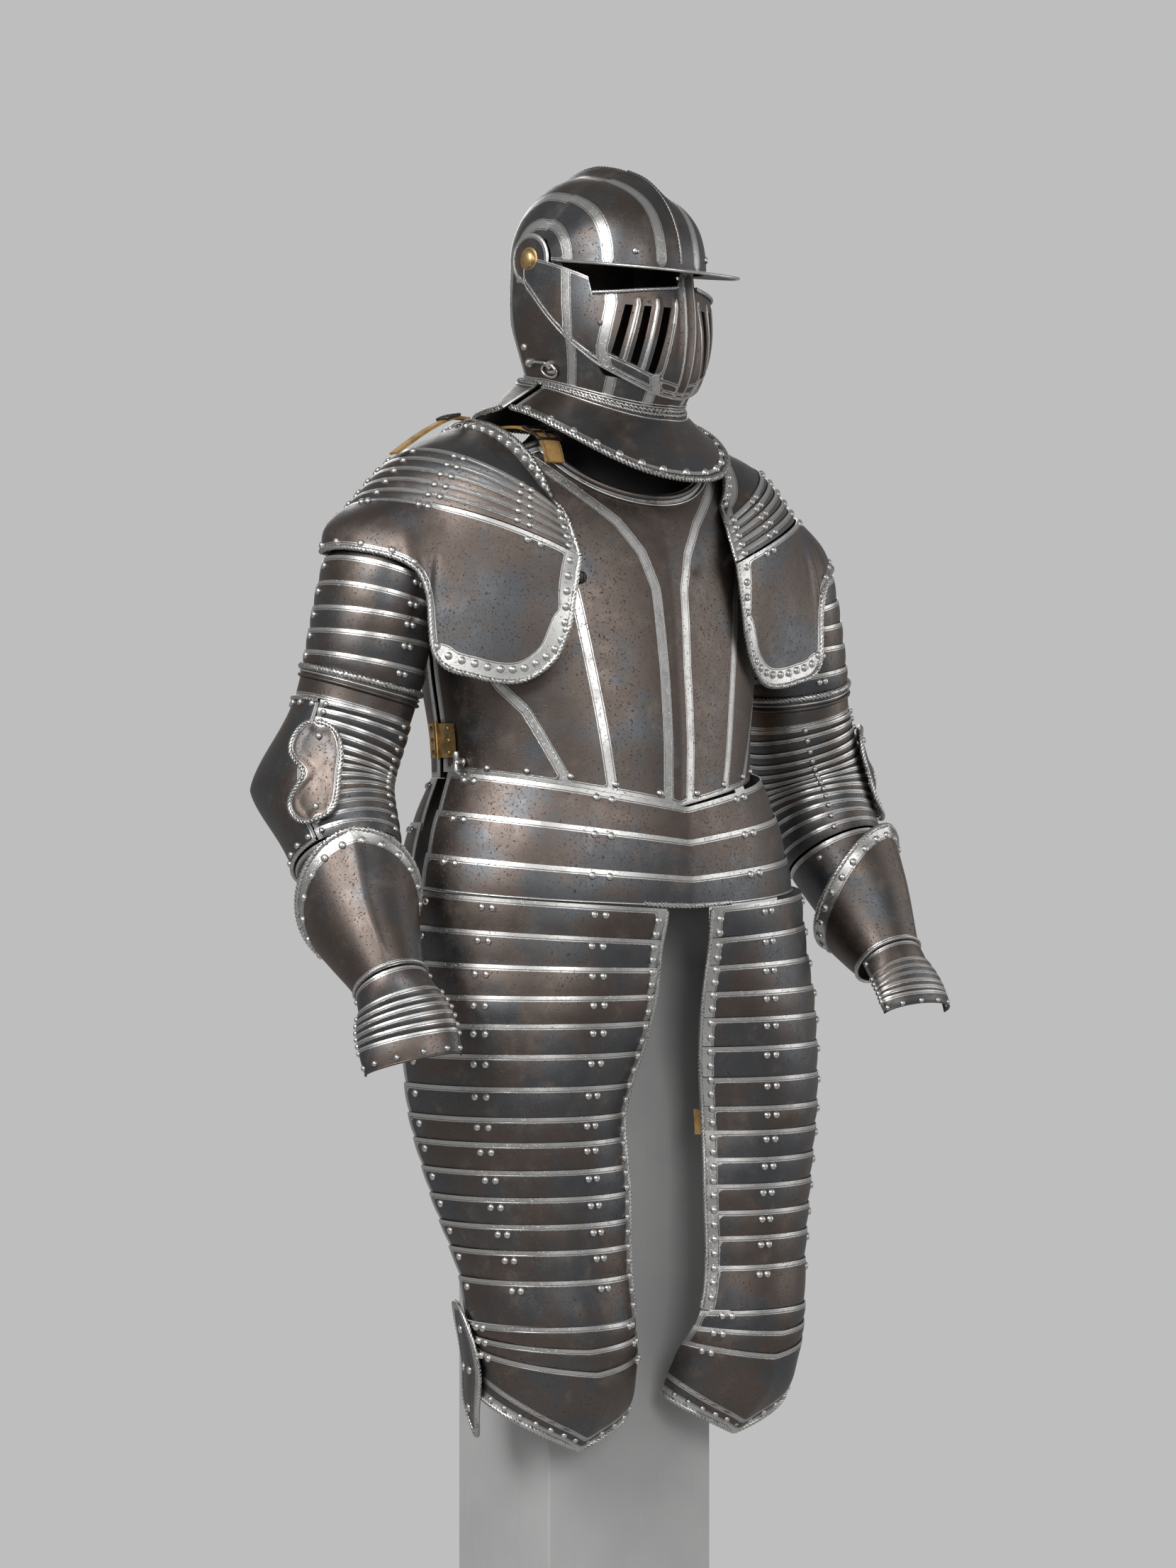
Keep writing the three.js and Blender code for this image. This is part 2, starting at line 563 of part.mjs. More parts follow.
// Brow plate: from the peak over the forehead, with a round end on each pivot.
const PEAK = { reach: 44, drop: 9 };
function browAt(b, r) {
  if (r >= 0) {
    return domePoint(b, mix(-6, 62, r), LAYER.visor);
  }
  const reach = 2 + PEAK.reach * Math.pow(Math.max(0, Math.cos(rad(b * 1.22))), 0.8);
  const from = domePoint(b, -6, LAYER.visor);
  const yaw = rad(HEAD_YAW);
  const side = 0.35 * Math.sin(rad(b));
  from.x += -r * reach * (Math.sin(yaw) + side * Math.cos(yaw));
  from.y += -r * reach * (-Math.cos(yaw) + side * Math.sin(yaw));
  from.z += r * PEAK.drop * (reach / PEAK.reach);
  return from;
}

function toManifold(geometry) {
  return new wasm.Manifold(new wasm.Mesh({
    numProp: 3,
    vertProperties: geometry.getAttribute('position').array,
    triVerts: new Uint32Array(geometry.index.array),
  }));
}

function fromManifold(body) {
  const mesh = body.getMesh();
  const geometry = new THREE.BufferGeometry();
  geometry.setAttribute('position', new THREE.BufferAttribute(new Float32Array(mesh.vertProperties), 3));
  geometry.setIndex(new THREE.BufferAttribute(new Uint32Array(mesh.triVerts), 1));
  geometry.computeVertexNormals();
  return geometry;
}

// Round plate or domed rivet across the pivot axis: rings of distance out and radius.
function pivotTurning(side, rings, count) {
  const points = [];
  const faces = [];
  rings.forEach(([out, radius]) => {
    for (let j = 0; j < count; j += 1) {
      const turn = (2 * Math.PI * j) / count;
      points.push(helmet(radius * Math.cos(turn), side * out, radius * Math.sin(turn)));
    }
  });
  for (let i = 0; i < rings.length - 1; i += 1) {
    for (let j = 0; j < count; j += 1) {
      const a = i * count + j;
      const b = i * count + ((j + 1) % count);
      faces.push([a, b, b + count], [a, b + count, a + count]);
    }
  }
  const last = (rings.length - 1) * count;
  for (let j = 1; j < count - 1; j += 1) {
    faces.push([0, j + 1, j], [last, last + j, last + j + 1]);
  }
  return solid(points, faces);
}

const browColumns = [-79, -66, -52, -38, -23, -8, 0, 8, 23, 38, 52, 66, 79];
const browRows = [[-1, 0], [-0.02, 0], [0.04, 0], [0.35, 0], [0.68, 0], [1, 0]];
let brow = toManifold(shell(browAt, browColumns, browRows));
for (const side of [-1, 1]) {
  brow = brow.add(toManifold(pivotTurning(side, [[86.3, 36], [88.4, 36]], 12)));
}
add('helmet_brow_plate', fromManifold(brow), 'steel');
for (const [side, label] of [[-1, 'right'], [1, 'left']]) {
  const rivet = [[88.8, 10.5], [91.2, 10], [93.6, 7.5], [95, 3]];
  add(`pivot_rivet_${label}`, pivotTurning(side, rivet, 8), 'brass');
}

// Gorget plates: flared front and back, each with a turned lower edge.
function gorgetAt(turn, r) {
  const c = Math.cos(rad(turn));
  const from = headPoint(turn, COLLAR_Q + 0.006, 0);
  const length = c > 0 ? 134 : 100;
  const low = c > 0 ? mix(-150, -222, Math.pow(c, 1.3)) : mix(-150, -160, -c);
  const to = helmet(length * swell(c), 122 * swell(Math.sin(rad(turn))), low);
  const p = from.lerp(to, Math.pow(Math.max(0, r), 0.85));
  return p;
}
const gorgetRows = [[0.01, 1.5], [0.1, 0], [0.92, 0], [0.93, 2.5], [1, 2.5]];
const gorgetBack = (turn, r) => gorgetAt(180 - turn, r);
add('gorget_front', shell(gorgetAt, span(-88, 88, 10), gorgetRows), 'steel');
add('gorget_back', shell(gorgetBack, span(-88, 88, 8), gorgetRows), 'steel');

// ---- Fittings: hinges, straps, wing nuts, screw -----------------------------
const hingeAt = (side) => (turn, z) => bodyPoint(TORSO, side * turn, z);
const SHOULDER_STRAP = [
  { r: 0, y: -88, z: 1440 },
  { r: 1, y: -76, z: 1463 },
  { r: 2, y: -40, z: 1477 },
  { r: 3, y: 20, z: 1480 },
  { r: 4, y: 80, z: 1480 },
  { r: 5, y: 111, z: 1446 },
];
const PAULDRON_STRAP = [
  { r: 0, x: 130, z: 1489 },
  { r: 1, x: 150, z: 1488 },
  { r: 2, x: 176, z: 1476 },
  { r: 3, x: 200, z: 1461 },
  { r: 4, x: 216, z: 1450 },
];

function barAlong(from, to, radius, count) {
  const axis = to.clone().sub(from).normalize();
  const seat = Math.abs(axis.z) > 0.9 ? v3(1, 0, 0) : v3(0, 0, 1);
  const u = seat.cross(axis).normalize();
  const v = axis.clone().cross(u);
  const points = [];
  const faces = [];
  for (const end of [from, to]) {
    for (let j = 0; j < count; j += 1) {
      const turn = (2 * Math.PI * j) / count;
      const p = end.clone().addScaledVector(u, radius * Math.cos(turn));
      points.push(p.addScaledVector(v, radius * Math.sin(turn)));
    }
  }
  for (let j = 0; j < count; j += 1) {
    const k = (j + 1) % count;
    faces.push([j, k, k + count], [j, k + count, j + count]);
  }
  for (let j = 1; j < count - 1; j += 1) {
    faces.push([0, j + 1, j], [count, count + j, count + j + 1]);
  }
  return solid(points, faces);
}

for (const [side, label] of [[-1, 'right'], [1, 'left']]) {
  const rows = [[1186, 3.4], [1168, 4.2], [1150, 3.4]];
  const turns = [80, 87, 93, 100];
  const hinge = shell(hingeAt(side), turns, rows, { wall: -0.8 });
  add(`side_hinge_${label}`, hinge, 'brass');
  const strap = (c, r) => {
    const s = sample(SHOULDER_STRAP, 'r', r);
    return v3(side * (96 + 11 * c), s.y, s.z);
  };
  const strapRows = span(0, 5, 5).map((r) => [r, 1.5]);
  add(`shoulder_strap_${label}`, shell(strap, [-1, 1], strapRows, { wall: 1.5 }), 'leather');
  const tie = (c, r) => {
    const s = sample(PAULDRON_STRAP, 'r', r);
    return v3(side * s.x, 18 + 7 * c, s.z);
  };
  const tieRows = span(0, 4, 4).map((r) => [r, 1.3]);
  add(`pauldron_strap_${label}`, shell(tie, [-1, 1], tieRows, { wall: 1.3 }), 'leather');
  const seat = bodyPoint(TORSO, side * 78, 1146);
  const outward = v3(side * 0.96, -0.28, 0);
  const from = seat.clone().addScaledVector(outward, 2);
  const to = seat.clone().addScaledVector(outward, 13);
  let nut = toManifold(barAlong(from, to, 3.5, 6));
  const tip = (up) => to.clone().addScaledVector(outward, -1).add(v3(0, 0, up));
  nut = nut.add(toManifold(barAlong(tip(-11), tip(11), 2, 6)));
  add(`wing_nut_${label}`, fromManifold(nut), 'steel');
}
const screwSeat = bodyPoint(TORSO, -29, 1326);
const screwOut = v3(-0.36, -0.933, 0);
const screwFrom = screwSeat.clone().addScaledVector(screwOut, 0.6);
const screwTo = screwSeat.clone().addScaledVector(screwOut, 8);
add('lance_rest_screw', barAlong(screwFrom, screwTo, 5, 12), 'steel');

// Knee wings: oval side plates, slightly dished, outside each knee plate.
const KNEE_WING = { turn: 112, half: 23, z: 556, halfHeight: 66 };
for (const [side, label] of [[-1, 'right'], [1, 'left']]) {
  const wing = (c, t) => {
    const up = Math.cos(Math.PI * t);
    const wide = Math.sqrt(Math.max(0.02, 1 - up * up));
    const turn = KNEE_WING.turn + KNEE_WING.half * c * wide;
    return legSurface(side, turn, KNEE_WING.z + KNEE_WING.halfHeight * up);
  };
  const rows = [0.06, 0.2, 0.5, 0.8, 0.94].map((t) => [t, 5.4]);
  add(`knee_wing_${label}`, shell(wing, [-1, -0.5, 0, 0.5, 1], rows, { wall: -3.4 }), 'steel');
}

// ---- Stand: foot, post and the smooth limbless form that carries the suit ---
const foot = new THREE.BoxGeometry(FOOT_SIZE, FOOT_SIZE, FOOT_THICK);
foot.translate(0, 0, FOOT_THICK / 2);
add('stand_foot', foot, 'post');
const POST_TOP = 1089;
const post = new THREE.BoxGeometry(POST_X, POST_Y, POST_TOP - FOOT_THICK - 0.3);
post.translate(0, 0, FOOT_THICK + 0.3 + (POST_TOP - FOOT_THICK - 0.3) / 2);
add('stand_post', post, 'post');
const FORM = [
  { z: 1089.3, half: 155, front: 138, back: 86, y0: 0 },
  { z: 1130, half: 158, front: 142, back: 84, y0: 0 },
  { z: 1200, half: 164, front: 144, back: 98, y0: 0 },
  { z: 1300, half: 174, front: 133, back: 118, y0: 0 },
  { z: 1370, half: 170, front: 116, back: 121, y0: 0 },
  { z: 1420, half: 140, front: 92, back: 108, y0: 0 },
  { z: 1450, half: 92, front: 66, back: 76, y0: 2 },
  { z: 1480, half: 58, front: 56, back: 52, y0: -6 },
  { z: 1545, half: 54, front: 54, back: 46, y0: -16 },
];
function formSolid() {
  const count = 20;
  const rows = [1089.3, 1130, 1200, 1300, 1370, 1400, 1422, 1438, 1452, 1470, 1500, 1545];
  const points = [];
  const faces = [];
  for (const z of rows) {
    const s = sample(FORM, 'z', z);
    for (let j = 0; j < count; j += 1) {
      const turn = (2 * Math.PI * j) / count;
      const c = Math.cos(turn);
      points.push(v3(s.half * Math.sin(turn), s.y0 - (c > 0 ? s.front : s.back) * c, z));
    }
  }
  for (let i = 0; i < rows.length - 1; i += 1) {
    for (let j = 0; j < count; j += 1) {
      const a = i * count + j;
      const b = i * count + ((j + 1) % count);
      faces.push([a, b, b + count], [a, b + count, a + count]);
    }
  }
  const last = (rows.length - 1) * count;
  for (let j = 1; j < count - 1; j += 1) {
    faces.push([0, j + 1, j], [last, last + j, last + j + 1]);
  }
  return solid(points, faces);
}
add('torso_form', formSolid(), 'felt');

export default group;
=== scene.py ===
"""Suit of plate armour on a display post: finished plates, rivets, roping, straps and stand.

Every shape is worked out in millimetres and goes into its mesh in metres. The wearer faces -Y.
"""
from functools import partial

import bpy
import numpy as np
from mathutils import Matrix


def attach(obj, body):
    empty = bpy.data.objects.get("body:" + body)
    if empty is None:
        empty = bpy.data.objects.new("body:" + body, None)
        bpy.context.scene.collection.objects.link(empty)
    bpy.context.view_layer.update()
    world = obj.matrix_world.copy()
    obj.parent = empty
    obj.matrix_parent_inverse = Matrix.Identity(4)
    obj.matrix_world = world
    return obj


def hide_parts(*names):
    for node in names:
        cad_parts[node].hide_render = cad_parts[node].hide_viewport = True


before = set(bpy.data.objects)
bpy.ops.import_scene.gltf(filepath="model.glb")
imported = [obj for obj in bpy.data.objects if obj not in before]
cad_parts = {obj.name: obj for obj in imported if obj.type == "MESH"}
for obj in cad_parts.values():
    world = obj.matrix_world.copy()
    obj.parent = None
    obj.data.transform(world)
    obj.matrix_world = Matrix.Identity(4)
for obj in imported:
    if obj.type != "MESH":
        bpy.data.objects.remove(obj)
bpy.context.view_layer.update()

# ---- Breastplate and backplate ---------------------------------------------------------------
# Two forged steel plates, strapped over the shoulders and hinged at the sides. The front one has a
# medial ridge and a pointed waist. Both are russet, with polished bands between engraved lines.
NECKLINE_Z, SHOULDER_Z, WAIST_POINT_Z, WAIST_SIDE_Z = 1408, 1462, 1103, 1137
STEP, RIDGE = 1.8, 5
ENGRAVED = 1.3
TORSO = {
    "z": [1080, 1120, 1170, 1240, 1320, 1380, 1430, 1490],
    "half": [176, 172, 173, 183, 190, 185, 168, 140],
    "front": [161, 160, 160, 154, 144, 129, 104, 66],
    "back": [100, 98, 104, 120, 134, 136, 126, 92],
    "y0": [0, 0, 0, 0, 0, 0, 0, 0],
}


def sample(table, key, at):
    """Every column of a table at any place along its key: a cubic between rows, whose slope at a
    row is that of the line through the row before and the row after."""
    x = np.array(table[key], float)
    if x[-1] < x[0]:
        table = {name: column[::-1] for name, column in table.items()}
        x = x[::-1]
    at = np.asarray(at, float)
    i = np.clip(np.searchsorted(x, at) - 1, 0, len(x) - 2)
    before, after = np.maximum(i - 1, 0), np.minimum(i + 2, len(x) - 1)
    step = x[i + 1] - x[i]
    t = (at - x[i]) / step
    out = {}
    for name, column in table.items():
        y = np.array(column, float)
        m0 = (y[i + 1] - y[before]) * step / (x[i + 1] - x[before])
        m1 = (y[after] - y[i]) * step / (x[after] - x[i])
        out[name] = (
            (1 + 2 * t) * (1 - t) ** 2 * y[i]
            + t * (1 - t) ** 2 * m0
            + t * t * (3 - 2 * t) * y[i + 1]
            + t * t * (t - 1) * m1
        )
    return out


def smooth(t):
    """0 below 0, 1 above 1, and a soft S between."""
    k = np.clip(t, 0, 1)
    return k * k * (3 - 2 * k)


def mix(a, b, t):
    """The line from a at t 0 to b at t 1."""
    return a + (b - a) * t


def xyz(x, y, z):
    """Points from three arrays of coordinates."""
    return np.stack(np.broadcast_arrays(x, y, z), -1).astype(float)


def both(a, b):
    """Two arrays of numbers, brought to one shape."""
    return np.broadcast_arrays(np.asarray(a, float), np.asarray(b, float))


def unit(v):
    """Each vector, made one long."""
    return v / np.maximum(np.linalg.norm(v, axis=-1, keepdims=True), 1e-9)


def skin(surface, c, r, over):
    """Points of a surface and its normals there, which are the cross products of its two slopes,
    turned away from the middle of the part that over gives by its end columns and end rows."""
    ec, er = 0.002 * (over[1] - over[0]), 0.002 * (over[3] - over[2])

    def cross(c, r):
        """The cross product of the slopes along columns and rows, made one long."""
        across = surface(c + ec, r) - surface(c - ec, r)
        return unit(np.cross(across, surface(c, r + er) - surface(c, r - er)))

    cc, rr = np.meshgrid(np.linspace(over[0], over[1], 9), np.linspace(over[2], over[3], 5))
    whole = surface(cc, rr)
    sign = np.sign((cross(cc, rr) * (whole - whole.mean((0, 1)))).sum())
    return surface(c, r), cross(c, r) * sign


def along(points, axis, back=False):
    """Distance travelled along the grid in that direction, in mm, from the first or last line."""
    step = np.linalg.norm(np.diff(points, axis=axis), axis=2)
    start = np.zeros_like(step[:1] if axis == 0 else step[:, :1])
    total = np.cumsum(np.concatenate([start, step], axis), axis)
    end = total[-1:] if axis == 0 else total[:, -1:]
    return end - total if back else total


def inward(points, axis):
    """Distance to the nearer end of the grid in that direction, in mm."""
    return np.minimum(along(points, axis), along(points, axis, True))


def sheet(surface, over, columns, rows):
    """A surface over those columns and rows: its two parameters there, its points and normals."""
    c, r = np.meshgrid(columns, rows)
    return (c, r, *skin(surface, c, r, over))


def near(points, path, half):
    """How far inside a band of that half width about the path each point is, in mm: half less its
    distance to the nearest of the path's straight pieces."""
    path = np.asarray(path, float)
    flat = points.reshape(-1, 1, 3)
    start, step = path[:-1], np.diff(path, axis=0)
    t = np.clip(((flat - start) * step).sum(-1) / (step * step).sum(-1), 0, 1)
    away = np.linalg.norm(flat - (start + step * t[..., None]), axis=-1).min(1)
    return half - away.reshape(points.shape[:2])


def plate(points, normal, wall=1.4, lift=0.0, ring=False, cells=None, band=-9.0, tone=0.0):
    """A closed plate: the grid moved out by lift along its normals, the same grid one wall deeper,
    and walls round the rim and round each cell left out. band is how far inside a bright band a
    point is, in mm, and tone is how far the patina of this plate leans to blue."""
    rows, cols = points.shape[:2]
    outer = points + normal * np.broadcast_to(lift, (rows, cols))[..., None]
    inner = outer - normal * wall
    at = np.arange(rows * cols).reshape(rows, cols)
    if ring:
        at = np.hstack([at, at[:, :1]])
    a, b, c, d = at[:-1, :-1], at[:-1, 1:], at[1:, 1:], at[1:, :-1]
    full = np.ones(a.shape, bool) if cells is None else cells
    beside = np.pad(full, 1)
    if ring:
        beside[1:-1, 0], beside[1:-1, -1] = full[:, -1], full[:, 0]
    n = rows * cols
    faces = [np.stack([a, b, c, d], -1)[full], np.stack([d, c, b, a], -1)[full] + n]
    for p, q, other in (
        (b, a, beside[:-2, 1:-1]),
        (d, c, beside[2:, 1:-1]),
        (a, d, beside[1:-1, :-2]),
        (c, b, beside[1:-1, 2:]),
    ):
        faces.append(np.stack([p, q, q + n, p + n], -1)[full & ~other])
    faces = np.concatenate(faces)
    points = np.concatenate([outer.reshape(-1, 3), inner.reshape(-1, 3)])
    p, q, r, s = (points[faces[:, k]] for k in range(4))
    if (p * np.cross(q, r)).sum() + (p * np.cross(r, s)).sum() < 0:
        faces = faces[:, ::-1]
    band = np.broadcast_to(np.asarray(band, float), (rows, cols)).ravel()
    return {
        "points": points,
        "faces": faces,
        "band": np.concatenate([band, np.full(n, -9.0)]),
        "tone": np.full(2 * n, float(tone)),
    }


def joined(parts):
    """Closed parts as one: their points and attributes end to end, their faces counted on."""
    start = np.cumsum([0] + [len(p["points"]) for p in parts])[:-1]
    out = {key: np.concatenate([p[key] for p in parts]) for key in ("points", "band", "tone")}
    return {**out, "faces": np.concatenate([p["faces"] + s for p, s in zip(parts, start)])}


def wrapped(points, band=0.0):
    """A closed solid from rings of points: quads from each ring to the next, and both ends closed
    by quads fanned from one corner."""
    rows, sides = points.shape[:2]
    at = np.arange(rows * sides).reshape(rows, sides)
    a, d = at[:-1], at[1:]
    around = np.stack([a, np.roll(a, -1, 1), np.roll(d, -1, 1), d], -1).reshape(-1, 4)
    k = np.arange(1, sides - 2, 2)
    cap = np.stack([0 * k, k, k + 1, k + 2], -1)
    return {
        "points": points.reshape(-1, 3),
        "faces": np.concatenate([around, cap[:, ::-1], cap + (rows - 1) * sides]),
        "band": np.broadcast_to(band, (rows, sides)).ravel().astype(float),
        "tone": np.zeros(rows * sides),
    }


def turned(places, out, profile, sides=10, band=3.4):
    """Small turned solids, one at each place: a profile of (radius, height) rows in mm is turned
    about the normal there."""
    places = np.asarray(places, float).reshape(-1, 3)
    out = unit(np.asarray(out, float).reshape(-1, 3))
    seat = np.where(np.abs(out[:, 2:]) > 0.9, [[1.0, 0, 0]], [[0, 0, 1.0]])
    u = unit(np.cross(seat, out))
    v = np.cross(out, u)
    turn = np.arange(sides) * 2 * np.pi / sides
    profile = np.asarray(profile, float)
    ring = u[:, None] * np.cos(turn)[None, :, None] + v[:, None] * np.sin(turn)[None, :, None]
    wide, high = (profile[:, k][None, :, None, None] for k in (0, 1))
    points = places[:, None, None] + ring[:, None] * wide + out[:, None, None] * high
    band = np.broadcast_to(np.asarray(band, float), len(profile))[:, None]
    return joined([wrapped(each, band) for each in points])


def rivets(places, out, radius=3.4, height=2.0, band=3.0):
    """Domed rivet heads."""
    dome = np.array([[0.05, -0.5], [1, -0.5], [1, 0.1], [0.86, 0.58], [0.5, 0.9], [0.05, 1]])
    return turned(places, out, dome * [radius * 1.32, height * 1.25], band=band)


def tube(path, radius=2.0, lobes=0.0, pitch=15.0, band=3.4, closed=False, gap=1.3):
    """A rolled or roped edge: an eight-sided section carried along the path. With lobes over 0 its
    radius has three lobes that turn once a pitch, and the grooves between them are dark."""
    path = np.asarray(path, float)
    if closed:
        path = np.vstack([path, path[:1]])
    length = np.concatenate([[0], np.cumsum(np.linalg.norm(np.diff(path, axis=0), axis=1))])
    s = np.linspace(0, length[-1], max(6, int(length[-1] / gap)))
    line = np.stack([np.interp(s, length, path[:, k]) for k in range(3)], -1)
    ahead = unit(np.gradient(line, axis=0))
    seat = np.linalg.svd(line - line.mean(0), full_matrices=False)[2][2]
    u = unit(np.cross(ahead, seat))
    v = np.cross(ahead, u)
    turn = np.arange(8) * np.pi / 4
    wave = np.cos(3 * turn[None] - 2 * np.pi * 3 * s[:, None] / pitch)
    size = radius * (1 + lobes * wave)
    points = line[:, None] + u[:, None] * (size * np.cos(turn))[..., None]
    points = points + v[:, None] * (size * np.sin(turn))[..., None]
    return wrapped(points, np.where(wave < -0.3, 1.3, band) if lobes else band)


def studs(surface, over, c, r, lift=0.8, **look):
    """Rivets at places on a surface."""
    c, r = both(c, r)
    points, normal = skin(surface, c.ravel(), r.ravel(), over)
    return rivets(points + normal * lift, normal, **look)


def edge(surface, over, c, r, lift=0.0):
    """A path along a surface, lift above it."""
    c, r = both(c, r)
    points, normal = skin(surface, c, r, over)
    return points + normal * np.broadcast_to(lift, c.shape)[..., None]


def trim(surface, over, c, r, lift, *look, **more):
    """A rolled or roped edge lying on a surface."""
    return tube(edge(surface, over, c, r, lift), *look, **more)


def painted(band, points, paths, half):
    """The band attribute with bright bands of that half width laid along the paths."""
    return np.maximum.reduce([band, *(near(points, path, half) for path in paths)])


def build(name, parts, material=None, body="suit", node=True):
    """One mesh of many closed parts, in steel unless another material is given. It rides on a body,
    and stands for the CAD node of the same name where there is one."""
    whole = joined(parts)
    points, faces = whole["points"] * 0.001, whole["faces"].astype(np.int32)
    mesh = bpy.data.meshes.new(name)
    mesh.vertices.add(len(points))
    mesh.vertices.foreach_set("co", points.ravel())
    mesh.loops.add(faces.size)
    mesh.loops.foreach_set("vertex_index", faces.ravel())
    mesh.polygons.add(len(faces))
    mesh.polygons.foreach_set("loop_start", np.arange(0, faces.size, 4, dtype=np.int32))
    for key in ("band", "tone"):
        attribute = mesh.attributes.new(key, "FLOAT", "POINT")
        attribute.data.foreach_set("value", whole[key].astype(np.float32))
    mesh.update(calc_edges=True)
    mesh.validate()
    mesh.polygons.foreach_set("use_smooth", np.ones(len(mesh.polygons), bool))
    mesh.set_sharp_from_angle(angle=np.radians(50))
    mesh.materials.append(material or STEEL)
    piece = bpy.data.objects.new(name, mesh)
    bpy.context.scene.collection.objects.link(piece)
    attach(piece, body)
    if node:
        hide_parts(name)


def put(tree, socket, value):
    """Links a socket to an output, or sets it."""
    if isinstance(value, bpy.types.NodeSocket):
        tree.links.new(value, socket)
    elif isinstance(value, tuple):
        socket.default_value = (*value, 1.0)[: len(socket.default_value)]
    else:
        socket.default_value = value


def maths(tree, operation, *values):
    """One Math node's result."""
    node = tree.nodes.new("ShaderNodeMath")
    node.operation = operation
    for i, value in enumerate(values):
        put(tree, node.inputs[i], value)
    return node.outputs[0]


def ramp(tree, value, low, high, to_low=0.0, to_high=1.0):
    """to_low where value is at or below low, to_high where it is at or above high, soft between."""
    node = tree.nodes.new("ShaderNodeMapRange")
    node.interpolation_type = "SMOOTHSTEP"
    for i, item in enumerate((value, low, high, to_low, to_high)):
        put(tree, node.inputs[i], item)
    return node.outputs[0]


def noise(tree, place, scale, detail=4.0, rough=0.6):
    """Fractal noise from 0 to 1 with that many bumps a metre."""
    node = tree.nodes.new("ShaderNodeTexNoise")
    settings = {"Vector": place, "Scale": scale, "Detail": detail, "Roughness": rough}
    for key, value in settings.items():
        put(tree, node.inputs[key], value)
    return node.outputs[0]


def tint(tree, share, a, b):
    """Colour a, going over to colour b with share."""
    node = tree.nodes.new("ShaderNodeMix")
    node.data_type = "RGBA"
    for i, value in ((0, share), (6, a), (7, b)):
        put(tree, node.inputs[i], value)
    return node.outputs[2]


def start_material(name, metal):
    """A new material: its tree, its shader and its object coordinates."""
    material = bpy.data.materials.new(name)
    material.use_nodes = True
    tree = material.node_tree
    shader = tree.nodes["Principled BSDF"]
    shader.inputs["Metallic"].default_value = metal
    return material, tree, shader, tree.nodes.new("ShaderNodeTexCoord").outputs["Object"]


def read_attribute(tree, name):
    """A vertex attribute's number."""
    node = tree.nodes.new("ShaderNodeAttribute")
    node.attribute_name = name
    return node.outputs["Fac"]


def dress(tree, shader, colour, rough, height, strength, distance):
    """Gives the shader its colour and roughness, and bumps its normal by height."""
    bump = tree.nodes.new("ShaderNodeBump")
    for socket, value in (
        (shader.inputs["Base Color"], colour),
        (shader.inputs["Roughness"], rough),
        (bump.inputs["Height"], height),
        (bump.inputs["Strength"], strength),
        (bump.inputs["Distance"], distance),
        (shader.inputs["Normal"], bump.outputs[0]),
    ):
        put(tree, socket, value)


def banded_steel():
    """Russet steel in purple-brown and blue-grey patches with brown specks and pits. Where the band
    attribute is over 0 it is polished, with a dark engraved line just inside each edge."""
    material, tree, shader, place = start_material("banded_russet_steel", 1.0)
    band, tone = read_attribute(tree, "band"), read_attribute(tree, "tone")
    wide, patch = noise(tree, place, 15, 5), noise(tree, place, 42, 6, 0.65)
    speck, grain = noise(tree, place, 420, 3, 0.7), noise(tree, place, 1500, 2, 0.7)
    lean = maths(tree, "MULTIPLY_ADD", tone, 0.07, wide)
    dark = tint(tree, ramp(tree, lean, 0.42, 0.60), (0.148, 0.121, 0.107), (0.122, 0.127, 0.134))
    dark = tint(tree, ramp(tree, patch, 0.52, 0.74), dark, (0.200, 0.170, 0.148))
    dark = tint(tree, ramp(tree, speck, 0.58, 0.70), dark, (0.070, 0.046, 0.036))
    bright = tint(tree, ramp(tree, patch, 0.50, 0.78), (0.62, 0.615, 0.60), (0.44, 0.42, 0.395))
    bright = tint(tree, ramp(tree, speck, 0.60, 0.74), bright, (0.24, 0.20, 0.17))
    worn = maths(tree, "MULTIPLY_ADD", maths(tree, "SUBTRACT", speck, 0.5), 1.2, band)
    polished = ramp(tree, worn, -0.3, 0.3)
    off_line = maths(tree, "ABSOLUTE", maths(tree, "SUBTRACT", band, ENGRAVED))
    line = ramp(tree, off_line, 0.16, 0.5, 1.0, 0.0)
    colour = tint(tree, polished, dark, bright)
    colour = tint(tree, maths(tree, "MULTIPLY", line, 0.75), colour, (0.080, 0.062, 0.052))
    dull = ramp(tree, patch, 0.3, 0.8, 0.36, 0.56)
    rough = maths(tree, "MULTIPLY_ADD", polished, -0.09, dull)
    fine = maths(tree, "MULTIPLY", grain, 0.3)
    pits = maths(tree, "MULTIPLY_ADD", ramp(tree, speck, 0.58, 0.72), -1.0, fine)
    height = maths(tree, "MULTIPLY_ADD", line, -1.4, pits)
    dress(tree, shader, colour, rough, height, 0.4, 0.0006)
    return material


STEEL = banded_steel()


def body_point(table, turn, z):
    """Torso surface: half an ellipse in front and half behind at each height, with a raised line
    down the front. turn is 0 in front, 90 on the wearer's left, 180 behind."""
    s = sample(table, "z", z)
    c = np.cos(np.radians(turn))
    depth = np.where(c > 0, s["front"], s["back"])
    ridge = RIDGE * np.maximum(0, 1 - np.abs(turn) / 24) ** 1.5
    return xyz(s["half"] * np.sin(np.radians(turn)), s["y0"] - depth * c - ridge, z)


def waist_z(c):
    """Lower edge: level at the sides, down to a point in front."""
    return WAIST_SIDE_Z - (WAIST_SIDE_Z - WAIST_POINT_Z) * np.maximum(0, 1 - np.abs(c)) ** 1.6


